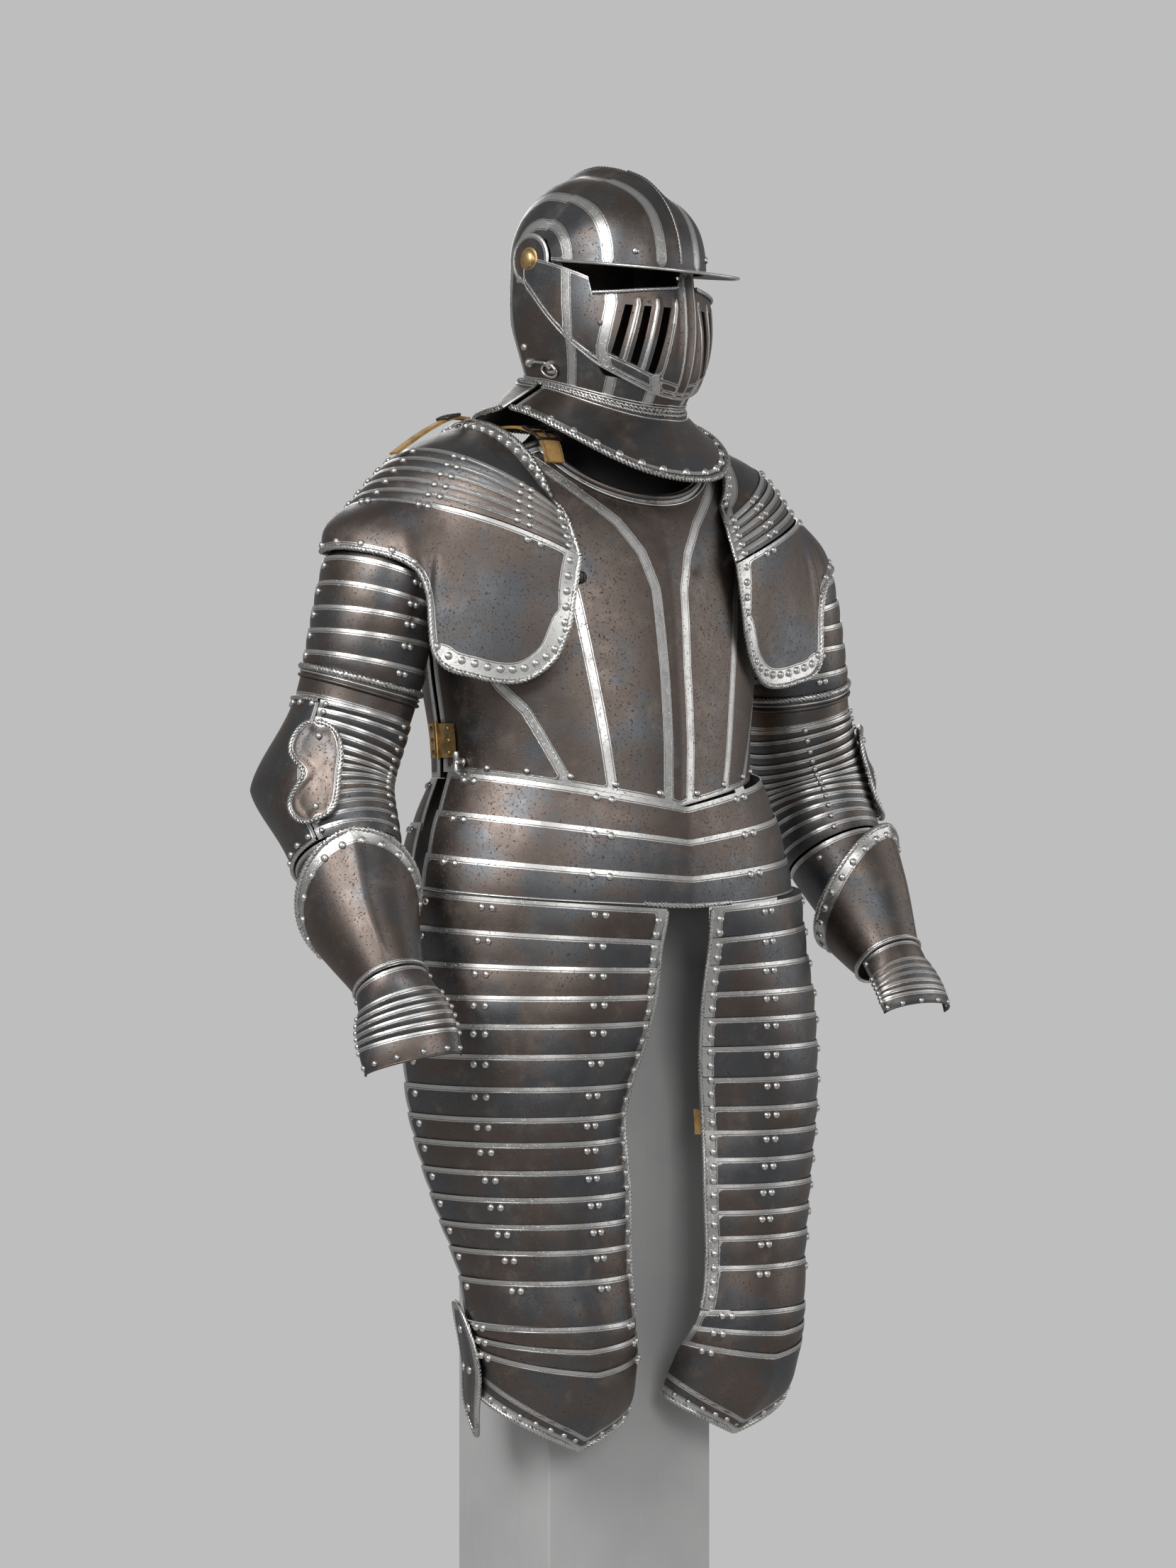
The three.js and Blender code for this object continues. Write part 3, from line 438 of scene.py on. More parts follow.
def top_z(c, middle, shoulder, drop):
    """Upper edge: a hollow neckline, a short level shoulder, then an armhole."""
    k = np.abs(c)
    neck = mix(middle, shoulder, (k / 0.45) ** 2)
    flat = mix(shoulder, shoulder - drop, (k - 0.45) / 0.13)
    arm = mix(shoulder - drop, 1322, np.maximum(0, (k - 0.58) / 0.42) ** 0.55)
    return np.where(k < 0.45, neck, np.where(k < 0.58, flat, arm))


def breast_at(c, r):
    """Breastplate, c from armpit to armpit and r from its upper to its lower edge."""
    return body_point(TORSO, 88.6 * c, mix(top_z(c, NECKLINE_Z, SHOULDER_Z, 10), waist_z(c), r))


def back_at(c, r):
    """Backplate, set out the same way."""
    top = top_z(c, SHOULDER_Z - 6, SHOULDER_Z + 4, 8)
    return body_point(TORSO, 180 - 88.6 * c, mix(top, WAIST_SIDE_Z - 6, r))


def torso_path(table, knots, behind=False):
    """A line on the torso through knots of (how far from the middle line, height), in mm."""
    t = np.linspace(0, len(knots) - 1, 12 * len(knots))
    away, z = (np.interp(t, np.arange(len(knots)), [k[i] for k in knots]) for i in (0, 1))
    turn = np.degrees(np.arcsin(np.clip(away / sample(table, "z", z)["half"], -1, 1)))
    return body_point(table, 180 - turn if behind else turn, z)


SIDES = ((-1, "right"), (1, "left"))
TORSO_BAND, TOP_BORDER, LOW_BORDER, SIDE_BORDER = 5.2, 10.5, 5.5, 7
DENT = {"turn": 11, "z": 1338, "deep": 2.4, "radius": 9.5}
WHOLE = (-1, 1, 0, 1)
BREAST_BANDS = (
    [(112, 1444), (80, 1412), (48, 1382), (28, 1352), (17, 1316), (14, 1240), (13, 1106)],
    [(108, 1345), (98, 1311), (80, 1198), (68, 1116)],
    [(176, 1262), (155, 1219), (138, 1196), (104, 1120)],
)
BACK_BANDS = (
    [(96, 1450), (40, 1390), (22, 1300), (16, 1130)],
    [(120, 1400), (96, 1300), (66, 1132)],
)
for name, surface, lines, behind in (
    ("breastplate", breast_at, BREAST_BANDS, False),
    ("backplate", back_at, BACK_BANDS, True),
):
    *_, points, normal = sheet(surface, WHOLE, np.linspace(-1, 1, 155), np.linspace(0, 1, 82))
    top = along(points, 0)
    band = np.maximum(TOP_BORDER - top, LOW_BORDER - along(points, 0, True))
    band = np.maximum(band, SIDE_BORDER - inward(points, 1))
    paths = [
        torso_path(TORSO, [(side * x, z) for x, z in knots], behind)
        for knots in lines
        for side in (-1, 1)
    ]
    band = painted(band, points, paths, TORSO_BAND)
    # A shallow proof dent in front, a crisp turn-out at the neck and armholes.
    lift = 1.6 * smooth(1 - top / 9)
    if not behind:
        dent = np.linalg.norm(points - body_point(TORSO, DENT["turn"], DENT["z"]), axis=2)
        lift = lift - DENT["deep"] * smooth(1 - dent / DENT["radius"])
    parts = [plate(points, normal, 2.0, lift, band=band, tone=-0.9)]
    cc = np.linspace(-1, 1, 260)
    parts += [trim(surface, WHOLE, cc, 0.004, 1.2, 3.6, band=-9, gap=2.5)]
    parts += [trim(surface, WHOLE, cc, 0.030, 1.9, 1.1, band=3.4, gap=2.5)]
    if not behind:
        for side in (-1, 1):
            at = body_point(TORSO, np.array([54.0, 62.0]) * side, np.array([1418.0, 1396.0]))
            parts += [rivets(at * [1, 1.01, 1], xyz(at[:, 0], at[:, 1], 30))]
        parts += [studs(surface, WHOLE, np.linspace(-0.93, 0.93, 12), 0.972, 0.2, radius=2.8)]
    build(name, parts)

# ---- Fauld and culet: lames below the waist --------------------------------------------------
# Three steel lames in front and three behind, riveted so that each lower one lies over the upper.
# Bright upper borders, paired rivets, and a roped turned edge along the bottom.
FAULD_BOTTOM_Z, TASSET_TILT = 1006, 18
HIPS = {
    "z": [1150, 1130, 1080, 1000, 940],
    "half": [175, 180, 201, 221, 226],
    "front": [143, 147, 154, 158, 160],
    "back": [92, 100, 138, 165, 172],
    "y0": [-12, -14, -18, -21, -21],
}


def lames(surface, over, columns, edges, seed, width=5.0, step=STEP, sides=(0, 0), ring=False):
    """A run of lames: each is its own strip between two edges. Its upper edge stands out by the
    step, over the lame above, and has a bright border; its lower edge goes on under the next."""
    tones = np.random.default_rng(seed).uniform(-1, 1, len(edges))
    parts = []
    for k in range(len(edges) - 1):
        t = np.linspace(0, 1 if k == len(edges) - 2 else 1.16, 8)
        *_, points, normal = sheet(surface, over, columns, mix(edges[k], edges[k + 1], t))
        lift = (step * (1 - t) + 0.8 * np.sin(np.pi * np.clip(t, 0, 1)))[:, None]
        band = width - along(points, 0)
        for share, back in zip(sides, (False, True)):
            if share:
                band = np.maximum(band, share - along(points, 1, back))
        parts += [plate(points, normal, 1.2, lift, ring, band=band, tone=tones[k])]
    return parts


def pairs(surface, over, centres, apart, rows, lift, radius):
    """Rivets two and two, in every row, that distance to each side of every centre."""
    places = [[[c - apart], [c + apart]] for c in centres]
    return [studs(surface, over, place, rows[None], lift, radius=radius) for place in places]


def fauld_at(c, r):
    """Front of the hips, from the waist down to an edge that rises to the sides."""
    low = FAULD_BOTTOM_Z + TASSET_TILT * np.abs(c) ** 1.2
    return body_point(HIPS, 86 * c, mix(waist_z(c) - 1, low, r))


def culet_at(c, r):
    """Back of the hips, between two level edges."""
    return body_point(HIPS, 180 - 86 * c, mix(WAIST_SIDE_Z - 7, 1010, r) + 0 * c)


for name, surface, edges, seed in (
    ("fauld", fauld_at, [0, 0.33, 0.7, 1], 3),
    ("culet", culet_at, [0, 0.36, 0.7, 1], 4),
):
    columns = np.linspace(-1, 1, 130)
    parts = lames(surface, WHOLE, columns, edges, seed, 6.0, sides=(6, 6))
    rows = np.array(edges[:-1]) + 0.06
    parts += pairs(surface, WHOLE, (-0.86, -0.3, 0.3, 0.86), 0.028, rows, 2.2, 3.0)
    middle = np.linspace(-0.16, 0.16, 60)
    parts += [trim(surface, WHOLE, middle, 0.993, 0.8, 2.8, 0.2, 13)]
    parts += [trim(surface, WHOLE, columns, 0.995, 0.2, 1.5, band=3.0, gap=2.5)]
    build(name, parts)

# ---- Tassets: long thigh lames, one run to each leg ------------------------------------------
# Fourteen narrow steel lames to a leg, riveted to leathers inside. Each has a bright upper border,
# and the inner ends make a wide bright riveted border down the leg.
LEG = {
    "z": [1040, 1000, 960, 900, 810, 730, 650, 600, 560, 520, 478],
    "cx": [36, 46, 66, 93, 119, 112, 108, 105, 101, 98, 95],
    "cy": [-21, -22, -27, -35, -44, -60, -82, -88, -89, -83, -72],
    "rx": [184, 177, 160, 137, 107, 101, 86, 83, 81, 78, 64],
    "ry": [160, 157, 147, 138, 124, 106, 88, 88, 87, 82, 52],
    "inner": [-3, -6, -13, -27, -42, -40, -45, -52, -68, -76, -76],
    "outer": [85, 87, 90, 95, 100, 100, 102, 104, 105, 105, 105],
}
THIGH_EDGES = [1016, 984, 952, 922, 895, 866, 835, 806, 782, 755, 729, 703, 678, 649, 606]


def leg_surface(side, turn, z):
    """One leg: an ellipse at each height, turn 0 in front and 90 on its outer side."""
    s = sample(LEG, "z", z)
    x = side * (s["cx"] + s["rx"] * np.sin(np.radians(turn)))
    return xyz(x, s["cy"] - s["ry"] * np.cos(np.radians(turn)), z)


def leg_point(side, c, z):
    """The same, c running from the leg's inner edge to its outer edge."""
    s = sample(LEG, "z", z)
    return leg_surface(side, mix(s["inner"], s["outer"], c), z)


for side, label in SIDES:

    def thigh_at(c, r, side=side):
        """Thigh, whose upper lames tilt with the fauld's edge."""
        return leg_point(side, c, r + mix(-0.67, 0.33, c) * TASSET_TILT * smooth((r - 900) / 110))

    over = (0, 1, 1016, 606)
    parts = lames(thigh_at, over, np.linspace(0, 1, 58), THIGH_EDGES, 20 + side, 5.2, sides=(13, 6))
    rows = np.array(THIGH_EDGES[:-1]) - 9.5
    parts += pairs(thigh_at, over, (0.26, 0.66), 0.02, rows, 2.0, 2.8)
    parts += [studs(thigh_at, over, 0.035, np.arange(1004, 612, -14.3), 2.0, radius=2.9)]
    parts += [studs(thigh_at, over, 0.93, rows, 2.0, radius=2.9)]
    down = np.linspace(1014, 608, 200)
    parts += [trim(thigh_at, over, 0.0, down, 1.4, 2.2, 0.2, 12)]
    build(f"tasset_{label}", parts)

# ---- Knees: two lames and a pointed knee plate, with an oval wing outside --------------------
# The knee plate is forged to a soft central ridge and ends in a point. Its wing is a dished oval
# with a roped rim, riveted on outside.
KNEE_LOW = {"top": 605, "tip": 478, "tip_at": 0.42, "inner": 520, "outer": 540}
KNEE_WING = {"turn": 112, "half": 23, "z": 556, "height": 66}


def path_on(surface, over, lift, *stretches):
    """A path lying on a surface, in straight stretches of c from, c to, r from, r to, count."""
    c = [np.linspace(a, b, count) for a, b, _, _, count in stretches]
    r = [np.linspace(a, b, count) for _, _, a, b, count in stretches]
    return edge(surface, over, np.concatenate(c), np.concatenate(r), lift)


for side, label in SIDES:

    def knee_at(c, r, side=side):
        """Knee, from a level upper edge to a lower edge that comes to a point in front."""
        k = c - KNEE_LOW["tip_at"]
        away = np.where(k < 0, -k / KNEE_LOW["tip_at"], k / (1 - KNEE_LOW["tip_at"]))
        ends = np.where(k < 0, KNEE_LOW["inner"], KNEE_LOW["outer"])
        low = mix(KNEE_LOW["tip"], ends, np.abs(away) ** 1.1)
        return leg_point(side, c, mix(KNEE_LOW["top"], low, r))

    over = (0, 1, 0, 1)
    columns = np.linspace(0, 1, 72)
    parts = lames(knee_at, over, columns, [0, 0.175, 0.35], 30 + side, 5.2, sides=(6, 6))
    c, r, points, normal = sheet(knee_at, over, columns, np.linspace(0.35, 1, 40))
    band = np.maximum(5.5 - along(points, 0), 9.5 - along(points, 0, True))
    band = np.maximum(band, 2.8 - np.abs(along(points, 0, True) - 21))
    t = (r - 0.35) / 0.65
    ridge = 3.0 * np.exp(-(((c - 0.42) / 0.05) ** 2)) * smooth(t * 3)
    lift = STEP * smooth(1 - t * 2.2) + ridge
    parts += [plate(points, normal, 1.6, lift, band=band)]
    parts += [trim(knee_at, over, columns, 0.995, 0.8, 2.4, 0.2, 12)]
    rows = np.array([0.05, 0.225, 0.41])
    parts += pairs(knee_at, over, (0.12, 0.88), 0.02, rows, 1.9, 2.8)
    parts += [studs(knee_at, over, np.linspace(0.06, 0.94, 14), 0.93, 0.4, radius=2.4)]
    build(f"knee_{label}", parts)

    def wing_at(c, t, side=side):
        """Oval on the outside of the knee, t from its top to its bottom and c across it."""
        up = np.cos(np.pi * t)
        wide = np.sqrt(np.maximum(0.02, 1 - up * up))
        turn = KNEE_WING["turn"] + KNEE_WING["half"] * c * wide
        return leg_surface(side, turn, KNEE_WING["z"] + KNEE_WING["height"] * up)

    over = (-1, 1, 0.05, 0.95)
    *_, points, normal = sheet(wing_at, over, np.linspace(-1, 1, 30), np.linspace(0.06, 0.94, 44))
    rim = np.minimum(inward(points, 1), inward(points, 0))
    lift = 5.4 - 2.0 * smooth((rim - 6) / 12)
    parts = [plate(points, normal, 1.6, lift, band=7 - rim)]
    loop = path_on(wing_at, over, 5.0, (1, 1, 0.06, 0.94, 90), (1, -1, 0.94, 0.94, 20),
                   (-1, -1, 0.94, 0.06, 90), (-1, 1, 0.06, 0.06, 20))
    parts += [tube(loop, 2.2, 0.2, 12)]
    parts += [studs(wing_at, over, [-0.35, 0.35, 0, 0], [0.5, 0.5, 0.3, 0.7], 3.4, radius=3.2)]
    build(f"knee_wing_{label}", parts)

# ---- Pauldrons: top plate, narrow lames and a main plate with wings --------------------------
# Each shoulder has a domed top plate with a wide riveted border, five narrow lames, and a main
# plate that spreads into a lobe in front and a larger wing behind. The rims are roped.
PAULDRON = {
    "r": [0, 1, 2],
    "fx": [112, 104, 101], "fy": [-101, -117, -139], "fz": [1402, 1386, 1345],
    "mx": [126, 198, 252], "my": [5, 2, 0], "mz": [1484, 1454, 1402],
    "bx": [112, 128, 156], "by": [104, 108, 108], "bz": [1430, 1392, 1335],
}
WING_EDGE = {
    "c": [0, 0.07, 0.14, 0.22, 0.29, 0.33, 0.39, 0.5, 0.6, 0.68, 0.75, 0.85, 0.93, 1],
    "x": [113, 126, 154, 198, 236, 242, 256, 292, 294, 254, 212, 168, 140, 128],
    "y": [-139, -129, -113, -100, -88, -84, -74, -30, 24, 64, 84, 104, 118, 124],
    "z": [1278, 1244, 1224, 1228, 1248, 1308, 1336, 1352, 1352, 1342, 1270, 1246, 1266, 1312],
}
LEFT_REACH = 14
BORDER = {"top": 15, "lames": 16, "front": 19, "back": 18, "rim": 6}


def reach_of(side, c):
    """The left shoulder sits further in at its front end."""
    return LEFT_REACH * (1 - np.clip(c / 0.5, 0, 1)) ** 2 if side > 0 else 0 * c


def pauldron_point(side, c, r):
    """Over the shoulder: half an ellipse at each r, through its front end, its outermost point and
    its back end, c running from front to back."""
    s = sample(PAULDRON, "r", r)
    turn = np.radians(180 * c - 90)[..., None]
    front, back = xyz(s["fx"], s["fy"], s["fz"]), xyz(s["bx"], s["by"], s["bz"])
    middle = (front + back) / 2
    p = middle + (xyz(s["mx"], s["my"], s["mz"]) - middle) * np.cos(turn)
    p = p + (back - middle) * np.sin(turn)
    p[..., 0] = side * (p[..., 0] - reach_of(side, c))
    return p


def main_plate_point(side, c, t):
    """From the last ring down to the wing edge in straight lines, swelled by a half sine."""
    top = pauldron_point(side, c, 2.02 + 0 * t)
    s = sample(WING_EDGE, "c", np.clip(c, 0, 1))
    low = xyz(side * (s["x"] - reach_of(side, c)), s["y"], s["z"])
    bulge = 12 * np.sin(np.pi * np.clip(t, 0, 1)) * np.sin(np.pi * np.clip(c, 0, 1))
    return mix(top, low, np.asarray(t)[..., None]) + xyz(side * bulge * 0.9, 0 * bulge, bulge * 0.3)


for side, label in SIDES:
    over_at, main_at = partial(pauldron_point, side), partial(main_plate_point, side)
    over = (0, 1, 0, 2)
    columns = np.linspace(0, 1, 96)
    _, r, points, normal = sheet(over_at, over, columns, np.linspace(0, 1.04, 30))
    band = BORDER["top"] - np.minimum(along(points, 0), inward(points, 1))
    parts = [
        plate(points, normal, 1.5, 1.4 * smooth(1 - r / 0.2), band=band),
        trim(over_at, over, columns, 0.0, 0.8, 2.8, 0.2, 13),
        studs(over_at, over, np.linspace(0.03, 0.97, 22), 0.12, 0.6, radius=3.2),
    ]
    build(f"pauldron_top_{label}", parts)

    edges = [1, 1.2, 1.4, 1.6, 1.8, 1.99]
    parts = lames(over_at, over, columns, edges, 40 + side, sides=(BORDER["lames"],) * 2)
    starts = np.array(edges[:-1])
    parts += [studs(over_at, over, [[0.03], [0.97]], starts[None] + 0.1, 1.8, radius=3.0)]
    for end in (0.003, 0.997):
        parts += [trim(over_at, over, end, np.linspace(0, 2, 90), 1.2, 2.4, 0.2, 13)]
    rows = starts + 0.075
    parts += pairs(over_at, over, (0.14, 0.34, 0.66, 0.86), 0.014, rows, 2.0, 2.7)
    parts += [studs(over_at, over, 0.5, rows, 2.0, radius=2.9)]
    build(f"pauldron_lames_{label}", parts)

    over = (0, 1, 0, 1)
    columns = np.unique(np.concatenate([np.linspace(0, 1, 101), np.linspace(0.27, 0.41, 43),
                                        np.linspace(0.66, 0.77, 23)]).round(4))
    c, t, points, normal = sheet(main_at, over, columns, np.linspace(0, 1, 38))
    rim_c = np.linspace(0, 1, 260)
    rim = edge(main_at, over, rim_c, 1.0)
    band = np.maximum(5.5 - along(points, 0), BORDER["front"] - inward(points, 1))
    for part, half in ((rim, "rim"), (rim[rim_c < 0.28], "front"), (rim[rim_c > 0.74], "back")):
        band = painted(band, points, [part], BORDER[half])
    crease = np.exp(-(((c - 0.305) / 0.013) ** 2)) + np.exp(-(((c - 0.72) / 0.013) ** 2))
    lift = 0.4 + STEP * smooth(1 - t / 0.5) + 2.2 * crease * smooth(t * 1.6)
    parts = [plate(points, normal, 1.5, lift, band=band)]
    parts += [trim(main_at, over, rim_c, 0.995, 0.6, 2.6, 0.2, 13)]
    for end in (0.004, 0.996):
        parts += [trim(main_at, over, end, np.linspace(0, 1, 60), 0.8, 2.4, 0.2, 13)]
    spots = np.concatenate([np.linspace(0.02, 0.285, 13), np.linspace(0.745, 0.98, 12)])
    parts += [studs(main_at, over, spots, 0.92, 0.8, radius=3.0)]
    parts += [studs(main_at, over, [0.028], np.linspace(0.1, 0.8, 5), 1.2, radius=3.0)]
    spots = [0.10, 0.128, 0.34, 0.362, 0.50, 0.522, 0.66, 0.682]
    parts += [studs(main_at, over, spots, 0.055, 2.4, radius=2.8)]
    spots = [0.33, 0.37, 0.42, 0.48, 0.54, 0.60, 0.65]
    parts += [studs(main_at, over, spots, 0.90, 0.8, radius=2.8)]
    build(f"pauldron_main_{label}", parts)

# ---- Arms: lames, turner, cannons, elbow and its wing ----------------------------------------
# Closed rings of steel round the arm. A roped turner lets the lower arm twist, narrow lames close
# the inside of the elbow, and a pointed cop with a heart-shaped roped wing covers its outside.
UPPER_ARM = {
    "s": [0, 1, 2, 3, 4],
    "x": [229, 251, 262, 275, 294], "y": [-4, -4, -2, 4, 2], "z": [1372, 1306, 1240, 1186, 1126],
    "rx": [57, 55, 58, 57, 57], "ry": [63, 61, 60, 58, 58], "roll": [0, 0, 0, 0, 0],
}
FOREARM = {
    "right": {
        "s": [2, 3, 4, 5, 6, 7, 8, 9],
        "x": [262, 275, 294, 298, 306, 305, 304, 303], "y": [-2, 4, 2, -24, -70, -118, -140, -155],
        "z": [1240, 1186, 1126, 1066, 1000, 938, 902, 862], "rx": [58, 57, 57, 53, 43, 34, 45, 46],
        "ry": [60, 58, 58, 55, 46, 34, 24, 22], "roll": [0, 0, 0, 0, 10, 30, 35, 35],
    },
    "left": {
        "s": [2, 3, 4, 5, 6, 7, 8, 9],
        "x": [262, 275, 294, 298, 306, 306, 308, 309], "y": [-2, 4, 2, -22, -64, -110, -140, -152],
        "z": [1240, 1186, 1126, 1066, 1003, 944, 914, 892], "rx": [58, 57, 57, 53, 43, 34, 44, 45],
        "ry": [60, 58, 58, 55, 46, 34, 24, 22], "roll": [0, 0, 0, 0, 0, 5, 8, 8],
    },
}
ELBOW = {"s": 4.0, "turn": 158, "point": 38.16}
CUFF = {"wrist": 7.02, "apex": 5.3, "drop": 0.95, "turn": 30}


def limb_point(table, side, turn, s, push=0.0):
    """A limb: an ellipse square to the line of its centres, turned by roll and pushed out from the
    centre. turn is 0 in front and 90 on the outer side."""
    turn, s = both(turn, s)
    here, before, after = (sample(table, "s", s + e) for e in (0, -0.02, 0.02))
    ahead = unit(xyz(*(after[k] - before[k] for k in "xyz")))
    front = unit(np.array([0, -1.0, 0]) + ahead * ahead[..., 1:2])
    out = unit(np.cross(ahead, front))
    out = out * np.where(out[..., :1] < 0, -1, 1)
    roll = np.radians(here["roll"])[..., None]
    a = np.radians(turn)[..., None] - roll
    flat = front * np.cos(roll) + out * np.sin(roll)
    wide = out * np.cos(roll) - front * np.sin(roll)
    away = wide * here["rx"][..., None] * np.sin(a) + flat * here["ry"][..., None] * np.cos(a)
    push = np.broadcast_to(np.asarray(push, float), turn.shape)[..., None]
    return (xyz(here["x"], here["y"], here["z"]) + away + unit(away) * push) * [side, 1, 1]


ROUND = np.linspace(0, 360, 88, endpoint=False)
for side, label in SIDES:
    forearm = FOREARM[label]
    upper_at, lower_at = partial(limb_point, UPPER_ARM, side), partial(limb_point, forearm, side)

    def cop_at(turn, s, side=side, forearm=forearm):
        """Elbow: the arm pushed out to a point, less and less to all sides of it."""
        a, b = np.abs(turn - ELBOW["turn"]) / 38, np.abs(s - ELBOW["s"]) / 0.52
        push = ELBOW["point"] * np.exp(-(a**1.5) - b**1.25)
        return limb_point(forearm, side, turn, s, push)

    def wing_at(c, t, side=side, forearm=forearm):
        """Elbow wing: an upright heart, whose notch is towards the point of the elbow."""
        high = np.abs(2 * np.clip(t, 0, 1) - 1)
        half = 4 + 22 * np.maximum(0, 1 - high**2.6) ** 0.5
        notch = 21 * np.exp(-(((t - 0.5) / 0.15) ** 2))
        turn = 54 + half * c - notch * np.maximum(c, 0)
        return limb_point(forearm, side, turn, mix(3.32, 4.92, t), 7)

    def cuff_at(turn, t, side=side, forearm=forearm):
        """Cuff: a flaring cone from the wrist to an edge that is highest at the apex turn."""
        lag = np.abs(1 - np.cos(np.radians(turn - CUFF["turn"]))) / 2
        top = CUFF["apex"] + CUFF["drop"] * lag**0.8
        flare = mix(1, 14, np.clip(t, 0, 1))
        return limb_point(forearm, side, turn, mix(CUFF["wrist"], top, t), flare)

    edges = [0.66, 0.97, 1.26, 1.56, 1.93, 2.2]
    over = (0, 360, 0.66, 2.2)
    parts = lames(upper_at, over, ROUND, edges, 50 + side, 5.0, ring=True)
    _, s, points, normal = sheet(upper_at, over, ROUND, np.linspace(0.22, 0.74, 10))
    parts += [plate(points, normal, 1.2, -3.2 * smooth((0.8 - s) / 0.3), True)]
    rows = np.array(edges[:-1]) + 0.12
    parts += [studs(upper_at, over, [[-10], [-3]], rows[None], 2.0, radius=2.7)]
    parts += [studs(upper_at, over, [[104], [190]], rows[None], 2.0, radius=2.8)]
    build(f"arm_lames_{label}", parts)

    over = (0, 360, 2.2, 2.8)
    *_, points, normal = sheet(upper_at, over, ROUND, np.linspace(2.21, 2.47, 8))
    parts = [plate(points, normal, 1.2, 0.6, True, tone=0.4)]
    for at, size, lobes, shade in ((2.25, 3.1, 0.2, 3.4), (2.35, 1.1, 0, 3.4), (2.43, 2.0, 0, -9)):
        path = edge(upper_at, over, ROUND, at, 1.0)
        parts += [tube(path, size, lobes, 13, shade, closed=True)]
    build(f"turner_{label}", parts)
    *_, points, normal = sheet(upper_at, over, ROUND, np.linspace(2.48, 2.82, 8))
    parts = [plate(points, normal, 1.4, 0.0, True, band=3.4 - along(points, 0, True), tone=-0.5)]
    build(f"upper_cannon_{label}", parts)

    over = (66, 230, 2.84, 5.2)
    columns, rows = np.linspace(66, 230, 66), np.linspace(2.84, 5.2, 64)
    turn, _, points, normal = sheet(cop_at, over, columns, rows)
    rim = np.minimum(inward(points, 0) + 1.5, inward(points, 1))
    spine = edge(cop_at, over, 158.0, np.linspace(2.84, 5.2, 80))
    band = np.maximum(4.2 - rim, near(points, spine, 1.2))
    ridge = 1.6 * np.exp(-(((turn - 158) / 3.5) ** 2))
    parts = [plate(points, normal, 1.6, ridge, band=band)]
    for at in (2.86, 5.18):
        parts += [trim(cop_at, over, np.linspace(66, 230, 80), at, 0.8, 2.2, 0.2, 12)]
    columns = np.linspace(74, 222, 9)[:, None]
    parts += [studs(cop_at, over, columns, [[2.95, 5.07]], 0.4, radius=2.6)]
    build(f"elbow_cop_{label}", parts)

    over = (-128, 64, 2.84, 5.2)
    edges = np.linspace(2.84, 5.2, 14)
    parts = lames(lower_at, over, np.linspace(-128, 64, 56), edges, 60 + side, 3.8, 1.6, (5, 5))
    rows = edges[:-1] + 0.075
    parts += [studs(lower_at, over, [[-122], [57], [-30]], rows[None], 1.9, radius=2.3)]
    build(f"elbow_lames_{label}", parts)

    over = (-1, 1, 0, 1)
    *_, points, normal = sheet(wing_at, over, np.linspace(-1, 1, 28), np.linspace(0, 1, 44))
    rim = np.minimum(inward(points, 1), inward(points, 0))
    parts = [plate(points, normal, 1.6, 1.6 - 1.6 * smooth((rim - 5) / 9), band=4.2 - rim, tone=-1)]
    loop = path_on(wing_at, over, 1.2, (1, 1, 0.01, 0.99, 90), (0.98, -0.98, 1, 1, 24),
                   (-1, -1, 0.99, 0.01, 90), (-0.98, 0.98, 0, 0, 24))
    parts += [tube(loop, 2.4, 0.2, 12, 2.2)]
    parts += [studs(wing_at, over, [-0.1, -0.1], [0.14, 0.86], 0.8, radius=2.6)]
    build(f"elbow_wing_{label}", parts)

    over = (0, 360, 5.24, 6.2)
    turn, _, points, normal = sheet(lower_at, over, ROUND, np.linspace(5.24, 6.2, 18))
    band = np.maximum(5 - along(points, 0), 3 - np.abs(np.mod(turn - 150 + 180, 360) - 180) * 0.9)
    parts = [plate(points, normal, 1.4, 0.0, True, band=band, tone=0.6)]
    parts += [studs(lower_at, over, [-60, 60, 120, 200], 5.4, 0.2, radius=2.6)]
    build(f"lower_cannon_{label}", parts)

    # Gauntlet: a flaring cuff with a medial ridge, and lames over the back of the hand.
    over = (0, 360, 0, 1)
    turn, t, points, normal = sheet(cuff_at, over, ROUND, np.linspace(0, 1, 34))
    apex = np.abs(np.mod(turn - CUFF["turn"] + 180, 360) - 180)
    band = np.maximum(15 - along(points, 0, True), 4.5 - along(points, 0))
    lift = 0.3 + 2.0 * np.exp(-((apex / 5) ** 2)) * smooth(t * 4) + smooth((t - 0.93) / 0.07)
    parts = [
        plate(points, normal, 1.4, lift, True, band=band, tone=-0.4),
        trim(cuff_at, over, ROUND, 0.99, 1.0, 2.6, 0.2, 13, closed=True),
        trim(cuff_at, over, ROUND, 0.02, 1.2, 1.6, 0.18, 9, closed=True),
        studs(cuff_at, over, np.arange(5, 365, 18), 0.90, 0.9, radius=3.0),
    ]
    build(f"gauntlet_cuff_{label}", parts)

    roll = forearm["roll"][-2]
    over = (roll - 96, roll + 96, 7.06, 9)
    edges = [7.06, 7.5, 7.7, 7.88, 8.06, 8.24, 8.42, 9]
    columns = np.linspace(roll - 96, roll + 96, 48)
    parts = lames(lower_at, over, columns, edges, 70 + side, 3.8, 1.6, (4, 4))
    rows = np.array(edges[:-1]) + 0.09
    parts += [
        studs(lower_at, over, [[roll - 90], [roll + 90]], rows[None], 1.8, radius=2.2),
        trim(lower_at, over, columns, 8.985, -0.2, 1.2, band=-9, gap=2),
        studs(lower_at, over, np.linspace(roll - 80, roll + 80, 6), 8.86, 0.8, radius=2.2),
    ]
    build(f"gauntlet_hand_{label}", parts)

